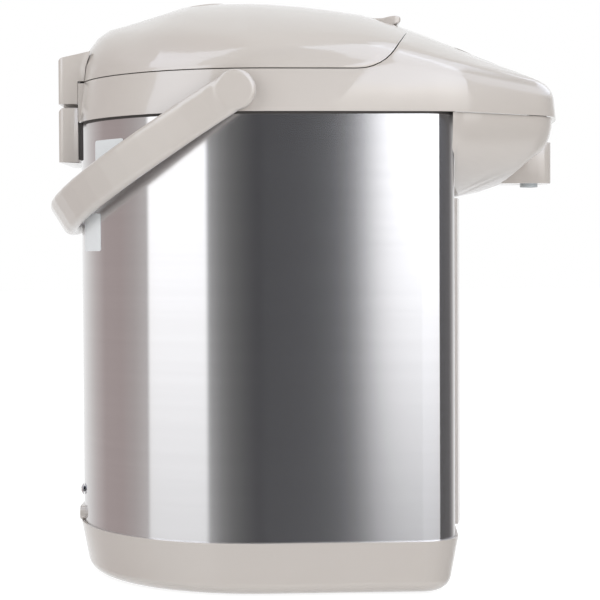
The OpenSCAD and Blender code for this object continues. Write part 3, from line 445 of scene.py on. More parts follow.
class SharedGroups:
    """The shader node groups that several materials use, each built once."""

    GLOSS_PATCHES = 34.0
    BAND_STRETCH = (0.6, 0.6, 0.12)
    DUST_GRAINS = 120.0
    DUST_SLOPE = (0.2, 1.0)
    DUST_RANGE = (0.35, 0.85)

    def __init__(self) -> None:
        """Builds the groups."""
        self.skin = self._moulded_skin()
        self.brush = self._brushed_lines()
        self.dust = self._settled_dust()

    @staticmethod
    def _start(name: str, inputs: Sequence[Tuple[str, float]], outputs: Sequence[str]
               ) -> Tuple[bpy.types.NodeTree, Nodes, bpy.types.Node, bpy.types.Node]:
        """Makes an empty group with its sockets.

        Args:
            name: the group's name.
            inputs: names and starting values of its number inputs.
            outputs: names of its number outputs.

        Returns:
            The tree, its writer, its input node and its output node.
        """
        tree = bpy.data.node_groups.new(name, "ShaderNodeTree")
        for label, value in inputs:
            socket = tree.interface.new_socket(label, in_out="INPUT", socket_type="NodeSocketFloat")
            socket.default_value = value
        for label in outputs:
            tree.interface.new_socket(label, in_out="OUTPUT", socket_type="NodeSocketFloat")
        writer = Nodes(tree)
        return tree, writer, writer.add("NodeGroupInput"), writer.add("NodeGroupOutput")

    def _moulded_skin(self) -> bpy.types.NodeTree:
        """Builds the fine ripple, drifting tone and uneven gloss of a moulded or cast skin.

        Returns:
            The group.
        """
        tree, w, entry, leave = self._start(
            "moulded_skin", [("Ripple Scale", 900.0), ("Drift Scale", 9.0), ("Low", 0.2), ("High", 0.3)],
            ["Ripple", "Drift", "Gloss"])
        place = w.add("TexCoord").outputs["Object"]
        ripple = w.noise(place, entry.outputs["Ripple Scale"], detail=3.0, roughness=0.6)
        w.link(ripple, leave.inputs["Ripple"])
        w.link(w.noise(place, entry.outputs["Drift Scale"]), leave.inputs["Drift"])
        patch = w.noise(place, self.GLOSS_PATCHES)
        gloss = w.spread(patch, entry.outputs["Low"], entry.outputs["High"], 0.0, 1.0)
        w.link(gloss, leave.inputs["Gloss"])
        return tree

    def _brushed_lines(self) -> bpy.types.NodeTree:
        """Builds the lines that a belt leaves round a sheet: long round the axis, fine along it.

        Returns:
            The group.
        """
        tree, w, entry, leave = self._start(
            "brushed_lines", [("Along", 5.0), ("Across", 1900.0), ("Low", 0.2), ("High", 0.3)],
            ["Lines", "Bands", "Gloss"])
        place = w.add("TexCoord").outputs["Object"]
        stretch = w.add("CombineXYZ")
        for axis, label in (("X", "Along"), ("Y", "Along"), ("Z", "Across")):
            w.link(entry.outputs[label], stretch.inputs[axis])
        scaled = w.add("VectorMath", operation="MULTIPLY")
        w.link(place, scaled.inputs[0])
        w.link(stretch.outputs[0], scaled.inputs[1])
        lines = w.noise(scaled.outputs[0], 1.0, detail=3.0, roughness=0.7)
        slower = w.add("VectorMath", operation="MULTIPLY")
        w.link(scaled.outputs[0], slower.inputs[0])
        slower.inputs[1].default_value = self.BAND_STRETCH
        w.link(lines, leave.inputs["Lines"])
        w.link(w.noise(slower.outputs[0], 1.0), leave.inputs["Bands"])
        gloss = w.spread(lines, entry.outputs["Low"], entry.outputs["High"], 0.0, 1.0)
        w.link(gloss, leave.inputs["Gloss"])
        return tree

    def _settled_dust(self) -> bpy.types.NodeTree:
        """Builds a faint mask of dust on surfaces that look up.

        Returns:
            The group.
        """
        tree, w, entry, leave = self._start("settled_dust", [("Amount", 0.05)], ["Mask"])
        place = w.add("TexCoord")
        split = w.add("SeparateXYZ")
        w.link(place.outputs["Normal"], split.inputs[0])
        up = w.spread(split.outputs["Z"], 0.0, 1.0, *self.DUST_SLOPE)
        grains = w.noise(place.outputs["Object"], self.DUST_GRAINS, detail=3.0, roughness=0.6)
        speck = w.spread(grains, 0.0, 1.0, *self.DUST_RANGE, True)
        w.link(w.maths("MULTIPLY", w.maths("MULTIPLY", up, speck), entry.outputs["Amount"]),
               leave.inputs["Mask"])
        return tree


GROUPS = SharedGroups()


# ---------------------------------------------------------------- finishes

class Sheen(Enum):
    """How a moulding shines: coat weight, coat roughness, and the least and most roughness below it."""

    POLISHED = (1.0, 0.035, 0.26, 0.34)
    SATIN = (0.35, 0.2, 0.34, 0.44)
    MATT = (0.0, 0.3, 0.45, 0.6)
    GLASSY = (0.6, 0.02, 0.05, 0.1)


@dataclass(frozen=True)
class Finish:
    """What every finish has: a name and a base colour."""

    name: str
    colour: Colour
    dust_grey: ClassVar[Colour] = (0.5, 0.48, 0.45)

    def _start(self) -> Tuple[bpy.types.Material, Nodes, bpy.types.Node]:
        """Makes a material with a Principled BSDF.

        Returns:
            The material, its writer and the shader.
        """
        material = bpy.data.materials.new(self.name)
        material.use_nodes = True
        w = Nodes(material.node_tree)
        shader, out = w.add("BsdfPrincipled"), w.add("OutputMaterial")
        w.link(shader.outputs[0], out.inputs["Surface"])
        shader.inputs["Base Color"].default_value = (*self.colour, 1.0)
        return material, w, shader

    @staticmethod
    def _group(w: Nodes, tree: bpy.types.NodeTree, **values: float) -> bpy.types.Node:
        """Places a shared group with its own values.

        Args:
            w: the tree's writer.
            tree: the group.
            values: its inputs by label, with _ for a space.

        Returns:
            The group's node.
        """
        node = w.add("Group", node_tree=tree)
        for label, value in values.items():
            node.inputs[label.replace("_", " ")].default_value = value
        return node

    @staticmethod
    def _bump(w: Nodes, height: bpy.types.NodeSocket, shader: bpy.types.Node, strength: float,
              distance: float) -> None:
        """Feeds a height to the shader's normal.

        Args:
            w: the tree's writer.
            height: the height.
            shader: the shader.
            strength: the bump's strength.
            distance: the bump's height.
        """
        bump = w.add("Bump")
        bump.inputs["Strength"].default_value = strength
        bump.inputs["Distance"].default_value = distance
        w.link(height, bump.inputs["Height"])
        w.link(bump.outputs[0], shader.inputs["Normal"])

    def _toned(self, w: Nodes, factor: bpy.types.NodeSocket, shader: bpy.types.Node, swing: float,
               dust: Optional[bpy.types.NodeSocket] = None) -> None:
        """Lets the base colour drift a little, and greys it where dust lies.

        Args:
            w: the tree's writer.
            factor: what the colour follows.
            shader: the shader that gets the colour.
            swing: how far the colour moves each way, as a share.
            dust: a mask of dust, if there is any.
        """
        darker = tuple(c * (1 - swing) for c in self.colour)
        lighter = tuple(min(1.0, c * (1 + swing)) for c in self.colour)
        colour = w.blend(factor, darker, lighter)
        if dust is not None:
            colour = w.blend(dust, colour, self.dust_grey)
        w.link(colour, shader.inputs["Base Color"])

    def material(self) -> bpy.types.Material:
        """Builds the material."""
        raise NotImplementedError


@dataclass(frozen=True)
class Moulding(Finish):
    """Injection-moulded plastic, from polished to matt."""

    sheen: Sheen = Sheen.SATIN
    ripple: float = 0.06
    drift: float = 0.02
    dust: float = 0.03
    ripple_height: ClassVar[float] = 0.00004
    ior: ClassVar[float] = 1.5

    def material(self) -> bpy.types.Material:
        """Builds the plastic.

        Returns:
            The material.
        """
        material, w, shader = self._start()
        coat, coat_roughness, low, high = self.sheen.value
        skin = self._group(w, GROUPS.skin, Low=low, High=high)
        dust = self._group(w, GROUPS.dust, Amount=self.dust)
        self._toned(w, skin.outputs["Drift"], shader, self.drift, dust.outputs["Mask"])
        w.link(skin.outputs["Gloss"], shader.inputs["Roughness"])
        self._bump(w, skin.outputs["Ripple"], shader, self.ripple, self.ripple_height)
        shader.inputs["IOR"].default_value = self.ior
        shader.inputs["Coat Weight"].default_value = coat
        shader.inputs["Coat Roughness"].default_value = coat_roughness
        return material


@dataclass(frozen=True)
class BrushedSheet(Finish):
    """Belt-brushed stainless sheet."""

    smooth: float = 0.13
    rough: float = 0.17
    anisotropy: float = 1.0
    turn: float = 0.25
    groove: float = 0.06
    swing: float = 0.03
    groove_height: ClassVar[float] = 0.00002

    def material(self) -> bpy.types.Material:
        """Builds the brushed sheet.

        Returns:
            The material.
        """
        material, w, shader = self._start()
        lines = self._group(w, GROUPS.brush, Low=self.smooth, High=self.rough)
        self._toned(w, lines.outputs["Bands"], shader, self.swing)
        w.link(lines.outputs["Gloss"], shader.inputs["Roughness"])
        self._bump(w, lines.outputs["Lines"], shader, self.groove, self.groove_height)
        shader.inputs["Metallic"].default_value = 1.0
        shader.inputs["Anisotropic"].default_value = self.anisotropy
        shader.inputs["Anisotropic Rotation"].default_value = self.turn
        tangent = w.add("Tangent", direction_type="RADIAL", axis="Z")
        w.link(tangent.outputs[0], shader.inputs["Tangent"])
        return material


@dataclass(frozen=True)
class PlainMetal(Finish):
    """Drawn, cast or turned metal."""

    smooth: float = 0.25
    rough: float = 0.4
    ripple: float = 0.1
    swing: ClassVar[float] = 0.06
    ripple_height: ClassVar[float] = 0.00005

    def material(self) -> bpy.types.Material:
        """Builds the metal.

        Returns:
            The material.
        """
        material, w, shader = self._start()
        skin = self._group(w, GROUPS.skin, Ripple_Scale=400.0, Low=self.smooth, High=self.rough)
        self._toned(w, skin.outputs["Drift"], shader, self.swing)
        w.link(skin.outputs["Gloss"], shader.inputs["Roughness"])
        self._bump(w, skin.outputs["Ripple"], shader, self.ripple, self.ripple_height)
        shader.inputs["Metallic"].default_value = 1.0
        return material


@dataclass(frozen=True)
class SoftGoods(Finish):
    """Rubber, silicone, felt and paper: no gloss, a visible grain."""

    grain: float = 700.0
    relief: float = 0.3
    roughness: float = 0.7
    rough_swing: ClassVar[float] = 0.15
    swing: ClassVar[float] = 0.06
    grain_height: ClassVar[float] = 0.0001

    def material(self) -> bpy.types.Material:
        """Builds the soft surface.

        Returns:
            The material.
        """
        material, w, shader = self._start()
        skin = self._group(w, GROUPS.skin, Ripple_Scale=self.grain, Low=self.roughness,
                           High=min(1.0, self.roughness + self.rough_swing))
        self._toned(w, skin.outputs["Ripple"], shader, self.swing)
        w.link(skin.outputs["Gloss"], shader.inputs["Roughness"])
        self._bump(w, skin.outputs["Ripple"], shader, self.relief, self.grain_height)
        return material


@dataclass(frozen=True)
class ClearMoulding(Finish):
    """Clear plastic of the gauge."""

    smooth: float = 0.04
    rough: float = 0.1
    ripple: float = 0.03
    ior: float = 1.49
    clearness: float = 0.85
    ripple_height: ClassVar[float] = 0.00003

    def material(self) -> bpy.types.Material:
        """Builds the clear plastic.

        Returns:
            The material.
        """
        material, w, shader = self._start()
        skin = self._group(w, GROUPS.skin, Low=self.smooth, High=self.rough)
        w.link(skin.outputs["Gloss"], shader.inputs["Roughness"])
        self._bump(w, skin.outputs["Ripple"], shader, self.ripple, self.ripple_height)
        shader.inputs["IOR"].default_value = self.ior
        shader.inputs["Transmission Weight"].default_value = self.clearness
        return material


SHELL_GREY = as_linear(206, 199, 193)
FINISHES: Tuple[Finish, ...] = (
    Moulding("warm_grey_plastic", SHELL_GREY, Sheen.POLISHED, 0.02, 0.012, 0.015),
    Moulding("panel_plastic", as_linear(176, 170, 164), Sheen.SATIN, 0.15, 0.02, 0.03),
    Moulding("key_plastic", as_linear(222, 217, 210), Sheen.SATIN, 0.08, 0.02, 0.02),
    Moulding("liner_plastic", as_linear(222, 218, 209), Sheen.SATIN, 0.1, 0.02, 0.0),
    Moulding("dark_plastic", as_linear(52, 51, 50), Sheen.MATT, 0.2, 0.05, 0.04),
    Moulding("pump_plastic", as_linear(212, 214, 210), Sheen.SATIN, 0.1, 0.02, 0.0),
    Moulding("impeller_plastic", as_linear(138, 156, 166), Sheen.SATIN, 0.1, 0.03, 0.0),
    Moulding("nozzle_plastic", as_linear(208, 215, 218), Sheen.POLISHED, 0.05, 0.02, 0.0),
    Moulding("display", as_linear(112, 122, 114), Sheen.GLASSY, 0.02, 0.02, 0.01),
    Moulding("board", as_linear(62, 108, 76), Sheen.MATT, 0.3, 0.05, 0.0),
    Moulding("ceramic", as_linear(222, 210, 184), Sheen.MATT, 0.3, 0.04, 0.0),
    Moulding("ferrite", as_linear(60, 60, 62), Sheen.MATT, 0.4, 0.05, 0.0),
    Moulding("lamp_lens", as_linear(196, 120, 52), Sheen.GLASSY, 0.02, 0.02, 0.0),
    Moulding("scale_ink", as_linear(92, 90, 88), Sheen.MATT, 0.1, 0.04, 0.0),
    # painted shadow: this dark grey colours the band under the collar and the strip behind the hinge
    # bracket, which stand in for the shade in those gaps
    Moulding("painted_shadow_grey", as_linear(74, 70, 68), Sheen.MATT, 0.1, 0.04, 0.0),
    BrushedSheet("brushed_jacket", (0.70, 0.692, 0.70)),
    PlainMetal("plain_steel", (0.6, 0.6, 0.61), 0.3, 0.42),
    PlainMetal("tank_steel", (0.74, 0.74, 0.75), 0.16, 0.26, 0.05),
    PlainMetal("screw_steel", (0.75, 0.75, 0.77), 0.12, 0.2, 0.05),
    PlainMetal("brass_pin", (0.72, 0.55, 0.25), 0.2, 0.3, 0.05),
    PlainMetal("heater_metal", (0.5, 0.5, 0.51), 0.45, 0.6, 0.3),
    SoftGoods("silicone", as_linear(224, 222, 216), 500.0, 0.15, 0.5),
    SoftGoods("foot_rubber", as_linear(62, 60, 59), 900.0, 0.3, 0.75),
    SoftGoods("felt", as_linear(226, 221, 210), 260.0, 0.9, 0.9),
    SoftGoods("label_paper", as_linear(238, 241, 243), 1500.0, 0.05, 0.35),
    ClearMoulding("clear_plastic", (0.93, 0.96, 0.97)),
)


class Palette:
    """Builds each finish the first time that it is asked for."""

    def __init__(self, finishes: Sequence[Finish]) -> None:
        """Keeps the finishes by name."""
        self.known: Dict[str, Finish] = {finish.name: finish for finish in finishes}
        self.made: Dict[str, bpy.types.Material] = {}

    def __getitem__(self, name: str) -> bpy.types.Material:
        """Gives the material of a finish.

        Args:
            name: the finish's name.

        Returns:
            Its material.
        """
        if name not in self.made:
            self.made[name] = self.known[name].material()
        return self.made[name]


PALETTE = Palette(FINISHES)
SLOTS: Dict[str, str] = {row["node"]: row["material_slot"] for row in frame["record"]["subparts"]}


# ---------------------------------------------------------------- sub-assemblies

class EdgeWork(Enum):
    """How wide the outer edges of a shell are broken."""

    AS_CUT = 0.0
    FINE = 0.0003
    CRISP = 0.0004
    BROKEN = 0.0006
    SOFT = 0.0010


@dataclass
class SubAssembly:
    """What every sub-assembly of the pot does with its solids and its new pieces."""

    shells: Dict[str, EdgeWork] = field(default_factory=dict)
    plain: Tuple[str, ...] = ()
    flat_sided: Tuple[str, ...] = ()
    crease_degrees: float = 28.0
    flat_degrees: float = 1.0
    skew_degrees: float = 60.0
    bevel_from_degrees: float = 40.0
    face_weight: int = 75

    def shell(self, node: str, work: EdgeWork) -> bpy.types.Object:
        """Makes a merged, softly shaded copy of a node, with its edges broken by a small bevel.

        Args:
            node: the node.
            work: how its edges are worked.

        Returns:
            The copy, which stands for the node.
        """
        piece = merged_copy(node, node + "_skin")
        bpy.ops.mesh.tris_convert_to_quads(face_threshold=math.radians(self.flat_degrees),
                                           shape_threshold=math.radians(self.skew_degrees))
        settle()
        if work is not EdgeWork.AS_CUT:
            apply_modifier(piece, "BEVEL", width=work.value, segments=2, limit_method="ANGLE",
                           angle_limit=math.radians(self.bevel_from_degrees), use_clamp_overlap=True,
                           harden_normals=False)
        shade(piece, self.crease_degrees)
        if node in self.flat_sided:
            apply_modifier(piece, "WEIGHTED_NORMAL", mode="FACE_AREA", weight=self.face_weight,
                           keep_sharp=True)
        return self.stand_for(piece, node)

    def softened(self, node: str, voxel: float, passes: int) -> bpy.types.Object:
        """Makes a copy of a node whose edges flow into each other.

        Args:
            node: the node.
            voxel: the grain of the new mesh.
            passes: how often it is smoothed.

        Returns:
            The copy, which stands for the node.
        """
        piece = merged_copy(node, node + "_skin")
        apply_modifier(piece, "REMESH", mode="VOXEL", voxel_size=voxel, use_smooth_shade=True)
        apply_modifier(piece, "SMOOTH", factor=0.5, iterations=passes)
        take(piece)
        bpy.ops.object.shade_smooth()
        settle()
        return self.stand_for(piece, node)

    @staticmethod
    def stand_for(piece: bpy.types.Object, node: str) -> bpy.types.Object:
        """Lets a piece stand for a node, on its body and in its finish.

        Args:
            piece: the piece.
            node: the node.

        Returns:
            The piece.
        """
        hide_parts(node)
        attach(piece, frame["nodes"][node]["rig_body"])
        SLOTS[node]
        put_on(piece, PALETTE[SLOTS[node]])
        return piece

    @staticmethod
    def add_piece(piece: bpy.types.Object, body: str, slot: str, finish: str) -> bpy.types.Object:
        """Lets a new piece ride on a body in a finish.

        Args:
            piece: the piece.
            body: the body.
            slot: not used.
            finish: the finish's name.

        Returns:
            The piece.
        """
        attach(piece, body)
        put_on(piece, PALETTE[finish])
        return piece

    def new_pieces(self) -> List[bpy.types.Object]:
        """Makes the pieces beyond the shells: none, unless a sub-assembly has some."""
        return []

    def build(self) -> List[bpy.types.Object]:
        """Makes the sub-assembly's pieces and dresses its solids.

        Returns:
            The new pieces.
        """
        for node in (*self.shells, *self.plain):
            put_on(frame["nodes"][node], PALETTE[SLOTS[node]])
        pieces = [self.shell(node, work) for node, work in self.shells.items()]
        return pieces + self.new_pieces()


@dataclass
class CrossRecess:
    """A cross that is cut into screw heads."""

    width: float
    length: float
    depth: float

    def cutter(self, centre: Vector, axis: str) -> bpy.types.Object:
        """Makes the two bars of one cross, as one solid.

        Args:
            centre: the middle of the screw's head.
            axis: the screw's axis, "X" or "Z".

        Returns:
            The cross.
        """
        bars = []
        for spin in (0.0, math.pi / 2):
            settle()
            bpy.ops.mesh.primitive_cube_add(size=1.0, location=centre)
            bar = bpy.context.object
            if axis == "Z":
                bar.scale = (self.length, self.width, 2 * self.depth)
                bar.rotation_euler = (0.0, 0.0, spin)
            else:
                bar.scale = (2 * self.depth, self.length, self.width)
                bar.rotation_euler = (spin, 0.0, 0.0)
            place_into_mesh(bar)
            bars.append(bar)
        apply_modifier(bars[0], "BOOLEAN", operation="UNION", object=bars[1], solver="EXACT")
        bpy.data.objects.remove(bars[1])
        return bars[0]

    def cut_into(self, node: str, centres: Sequence[Vector], axis: str) -> bpy.types.Object:
        """Cuts the cross into each screw of a node.

        Args:
            node: the screws.
            centres: the middles of their heads.
            axis: the screws' axis, "X" or "Z".

        Returns:
            The screws, as a copy of the node.
        """
        screws = merged_copy(node, node + "_skin")
        steps = [centre - centres[0] for centre in centres[1:]]
        crosses = repeated(self.cutter(centres[0], axis), steps, "cross_recesses")
        apply_modifier(screws, "BOOLEAN", operation="DIFFERENCE", object=crosses, solver="EXACT")
        bpy.data.objects.remove(crosses)
        return screws


@dataclass
class BaseUnit(SubAssembly):
    """Moulded base, its bottom plate, its rubber ring and the screws below."""

    shells: Dict[str, EdgeWork] = field(default_factory=lambda: {
        "base_shell": EdgeWork.BROKEN, "foot_ring": EdgeWork.FINE, "base_plate": EdgeWork.FINE})
    plain: Tuple[str, ...] = ("base_screws",)
    flat_sided: Tuple[str, ...] = ("base_shell",)
    recess: CrossRecess = field(default_factory=lambda: CrossRecess(0.0008, 0.0036, 0.0006))
    head_r: float = 0.003

    def new_pieces(self) -> List[bpy.types.Object]:
        """Makes the screws with a cross recess in each head.

        Returns:
            The screws.
        """
        low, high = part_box("base_screws")
        ring = 0.5 * (high.x - low.x) - self.head_r
        quarters = [0.5 * math.pi * count for count in range(4)]
        centres = [Vector((ring * math.cos(turn), ring * math.sin(turn), low.z)) for turn in quarters]
        screws = self.recess.cut_into("base_screws", centres, "Z")
        shade(screws, self.crease_degrees)
        return [self.stand_for(screws, "base_screws")]


@dataclass
class PowerInlet(SubAssembly):
    """Socket, pins and the two screws at the back."""

    shells: Dict[str, EdgeWork] = field(default_factory=lambda: {
        "power_socket": EdgeWork.BROKEN, "socket_pins": EdgeWork.FINE})
    plain: Tuple[str, ...] = ("socket_screws",)
    recess: CrossRecess = field(default_factory=lambda: CrossRecess(0.0009, 0.0038, 0.0009))

    def new_pieces(self) -> List[bpy.types.Object]:
        """Makes the domed screws with a cross recess in each.

        Returns:
            The screws.
        """
        low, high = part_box("socket_screws")
        middle, head = 0.5 * (low.z + high.z), 0.5 * (high.z - low.z)
        centres = [Vector((low.x, side, middle)) for side in (low.y + head, high.y - head)]
        screws = self.recess.cut_into("socket_screws", centres, "X")
        shade(screws, ROUND_CREASE)
        return [self.stand_for(screws, "socket_screws")]


@dataclass(frozen=True)
class Label:
    """A bare label on the jacket: its side edges as angles from the rear, and its heights."""

    name: str
    start: float
    end: float
    low: float
    high: float


@dataclass
class JacketUnit(SubAssembly):
    """Brushed jacket with two bare labels, the front panel and its gauge."""

    shells: Dict[str, EdgeWork] = field(default_factory=lambda: {
        "steel_jacket": EdgeWork.AS_CUT, "front_panel": EdgeWork.BROKEN})
    plain: Tuple[str, ...] = ("gauge_window", "gauge_tube", "valve_body", "valve_ball", "riser_hose")
    flat_sided: Tuple[str, ...] = ("steel_jacket", "front_panel")
    labels: Tuple[Label, ...] = (Label("upper_label", 0.515, 0.80, 0.2262, 0.2468),
                                 Label("lower_label", 0.30, 0.575, 0.1855, 0.2065))
    radius: float = 0.1035
    paper: float = 0.00012
    label_corner: float = 0.0016
    corner_reach: float = 0.00005
    label_steps: int = 9
    tick_gap: float = 0.02
    tick_size: Tuple[float, float, float] = (0.0007, 0.006, 0.0007)
    tick_edge: float = 0.00015
    tick_short: float = 0.55
    tick_beside: float = 0.003
    tick_inset: float = 0.01
    panel_bow: float = 0.25

    def new_pieces(self) -> List[bpy.types.Object]:
        """Makes the labels and the level marks."""
        return [self._label(label) for label in self.labels] + [self._level_marks()]

    def _label(self, label: Label) -> bpy.types.Object:
        """Makes a bare label: a sheet spun round the tank's axis from a straight edge.

        Args:
            label: where it lies.

        Returns:
            The label.
        """
        settle()
        bpy.ops.mesh.primitive_plane_add(size=1.0, location=ORIGIN)
        piece = bpy.context.object
        piece.name = label.name
        edit(piece)
        bpy.ops.mesh.delete(type="ONLY_FACE")
        bpy.ops.object.mode_set(mode="OBJECT")
        sides = [self.radius * math.cos(math.pi + angle) for angle in (label.start, label.end)]
        first = Vector((sides[0], self.radius * math.sin(math.pi + label.start), 0.0))
        for vertex, height in zip(piece.data.vertices, (label.low, label.high, label.high, label.low)):
            vertex.co = first + Vector((0.0, 0.0, height))
        edit(piece)
        bpy.ops.mesh.remove_doubles(threshold=WELD)
        bpy.ops.mesh.select_all(action="SELECT")
        bpy.ops.mesh.spin(steps=self.label_steps, angle=label.start - label.end, center=ORIGIN, axis=UP)
        bpy.ops.mesh.select_all(action="SELECT")
        bpy.ops.mesh.remove_doubles(threshold=WELD)
        bpy.ops.mesh.select_all(action="DESELECT")
        bpy.ops.mesh.select_mode(type="VERT")
        bpy.ops.object.mode_set(mode="OBJECT")
        for vertex in piece.data.vertices:
            vertex.select = any(abs(vertex.co.x - side) < self.corner_reach for side in sides)
        bpy.ops.object.mode_set(mode="EDIT")
        bpy.ops.mesh.bevel(offset=self.label_corner, segments=4, affect="VERTICES")
        bpy.ops.mesh.select_all(action="SELECT")
        bpy.ops.mesh.normals_make_consistent(inside=False)
        settle()
        middle = piece.data.polygons[len(piece.data.polygons) // 2]
        if middle.normal.dot(middle.center) < 0:
            edit(piece)
            bpy.ops.mesh.flip_normals()
            settle()
        apply_modifier(piece, "SOLIDIFY", thickness=self.paper, offset=1.0)
        shade(piece, ROUND_CREASE)
        return self.add_piece(piece, "pot", "warm_grey_plastic", "label_paper")

    def _level_marks(self) -> bpy.types.Object:
        """Makes the level marks beside the gauge: a long and a short bar, each copied up the panel.

        Returns:
            The marks, joined.
        """
        low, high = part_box("gauge_window")
        thick, wide, tall = self.tick_size
        inner = high.y + self.tick_beside
        beside = inner + 0.5 * wide
        bow = math.sqrt(self.panel_bow ** 2 - beside ** 2) - self.panel_bow
        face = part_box("front_panel")[1].x + bow
        count = int((high.z - low.z - 2 * self.tick_inset) / self.tick_gap)
        marks = []
        for first, share in ((0, 1.0), (1, self.tick_short)):
            level = low.z + self.tick_inset + 0.5 * first * self.tick_gap
            bar = block("level_bar", (face - 0.5 * thick, inner, level - 0.5 * tall),
                        (face + 0.5 * thick, inner + share * wide, level + 0.5 * tall),
                        self.tick_edge, 2)
            rises = [(0.0, 0.0, step * self.tick_gap) for step in range(1, count + 1 - first)]
            marks.append(repeated(bar, rises, "level_bars"))
        return self.add_piece(joined(marks, "level_marks"), "pot", "dark_plastic", "scale_ink")


@dataclass
class HeadUnit(SubAssembly):
    """Collar, shell under the beak and the nozzle."""

    shells: Dict[str, EdgeWork] = field(default_factory=lambda: {
        "collar": EdgeWork.CRISP, "spout_shell": EdgeWork.FINE, "nozzle_housing": EdgeWork.BROKEN,
        "nozzle_tip": EdgeWork.FINE})
    plain: Tuple[str, ...] = ("spout_pipe", "pivot_stubs")
    notch_half: float = 0.0355
    notch_x: Tuple[float, float] = (-0.1015, -0.0978)
    cheek_t: float = 0.0022
    cheek_play: float = 0.00005
    cheek_lift: float = 0.0002
    cheek_edge: float = 0.00025
    seam_z: float = 0.281
    seam_gap: float = 0.0005
    shadow_band_down: float = 0.0009
    shadow_band_up: float = 0.0003
    shadow_band_out: float = 0.00035
    neck_recess: float = 0.0035
    neck_deep: float = 0.008
    neck_share: float = 0.9
    neck_foot: float = 0.001
    neck_head: float = 0.0005
    neck_edge: float = 0.0006

    def new_pieces(self) -> List[bpy.types.Object]:
        """Makes the new pieces; the steel must not mirror the hollow side of the beak's shell."""
        bpy.data.objects["spout_shell_skin"].visible_glossy = False
        return [self._cheeks(), self._neck(), self._painted_shadow_band()]

    def _cheeks(self) -> bpy.types.Object:
        """Makes the two cheeks that close the hinge notch beside the hinge blocks.

        Returns:
            The cheeks, joined.
        """
        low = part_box("collar")[0].z + self.cheek_lift
        side = self.notch_half - self.cheek_play
        cheek = block("notch_cheek", (self.notch_x[0], -side, low),
                      (self.notch_x[1], self.cheek_t - side, self.seam_z - self.seam_gap),
                      self.cheek_edge, 2)
        cheeks = repeated(cheek, [(0.0, 2 * side - self.cheek_t, 0.0)], "notch_cheeks")
        return self.add_piece(cheeks, "pot", "warm_grey_plastic", "warm_grey_plastic")

    def _neck(self) -> bpy.types.Object:
        """Makes the neck that closes the beak's opening over the nozzle housing.

        Returns:
            The neck.
        """
        low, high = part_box("nozzle_housing")
        side = 0.5 * self.neck_share * (high.y - low.y)
        front = high.x - self.neck_recess
        neck = block("nozzle_neck", (front - self.neck_deep, -side, high.z - self.neck_foot),
                     (front, side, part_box("collar")[0].z + self.neck_head), self.neck_edge, 3)
        shade(neck, self.crease_degrees)
        return self.add_piece(neck, "pot", "warm_grey_plastic", "warm_grey_plastic")

    def _painted_shadow_band(self) -> bpy.types.Object:
        """Makes a dark band under the collar that paints the shadow in the gap between collar and
        jacket: a band cut from the jacket's form.

        Returns:
            The painted shadow band.
        """
        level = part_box("collar")[0].z
        # painted shadow: a thin dark band just under the collar stands in for the shadow in the gap
        band = merged_copy("steel_jacket", "collar_shadow_band")
        for height, above in ((level - self.shadow_band_down, True), (level + self.shadow_band_up, False)):
            bpy.ops.mesh.select_all(action="SELECT")
            bpy.ops.mesh.bisect(plane_co=(0.0, 0.0, height), plane_no=UP, use_fill=True,
                                clear_inner=above, clear_outer=not above)
        bpy.ops.mesh.select_all(action="SELECT")
        bpy.ops.transform.shrink_fatten(value=self.shadow_band_out)
        settle()
        shade(band, self.crease_degrees)
        return self.add_piece(band, "pot", "dark_plastic", "painted_shadow_grey")


@dataclass
class ControlPanel(SubAssembly):
    """Fascia on the slope of the beak with its display, keys and two lamps."""

    shells: Dict[str, EdgeWork] = field(default_factory=lambda: {
        "control_fascia": EdgeWork.BROKEN, "display_window": EdgeWork.FINE,
        "pour_button": EdgeWork.BROKEN, "unlock_button": EdgeWork.BROKEN,
        "reboil_button": EdgeWork.BROKEN, "select_button": EdgeWork.BROKEN})
    plain: Tuple[str, ...] = ("control_board",)
    tilt_degrees: float = 24.4
    lens_r: float = 0.0011
    lens_h: float = 0.0007
    lens_round: float = 0.0004
    lens_stand: float = 0.3
    lens_row: float = 0.0012
    lens_side: float = 0.026
    lens_crease: float = 35.0
    fascia_t: float = 0.0022

    def new_pieces(self) -> List[bpy.types.Object]:
        """Makes the two lamp lenses: one is turned and domed, the other is its copy.

        Returns:
            The lenses, joined.
        """
        low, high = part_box("control_fascia")
        tilt = Matrix.Rotation(math.radians(self.tilt_degrees), 4, "Y")
        face = 0.5 * (low + high) + tilt @ Vector((0.0, 0.0, 0.5 * self.fascia_t))
        settle()
        bpy.ops.mesh.primitive_cylinder_add(vertices=24, radius=self.lens_r, depth=self.lens_h)
        lens = bpy.context.object
        pick_faces(lens, lambda side: side.normal.z > FACES_UP)
        bpy.ops.mesh.bevel(offset=self.lens_round, segments=4, affect="EDGES")
        settle()
        twin = copied(lens, "right_lens")
        for piece, side in ((lens, -1.0), (twin, 1.0)):
            piece.matrix_world = Matrix.Translation(face) @ tilt @ Matrix.Translation(
                (self.lens_row, side * self.lens_side, self.lens_stand * self.lens_h))
            place_into_mesh(piece)
        lenses = joined([lens, twin], "lamp_lenses")
        shade(lenses, self.lens_crease)
        return [self.add_piece(lenses, "pot", "key_plastic", "lamp_lens")]


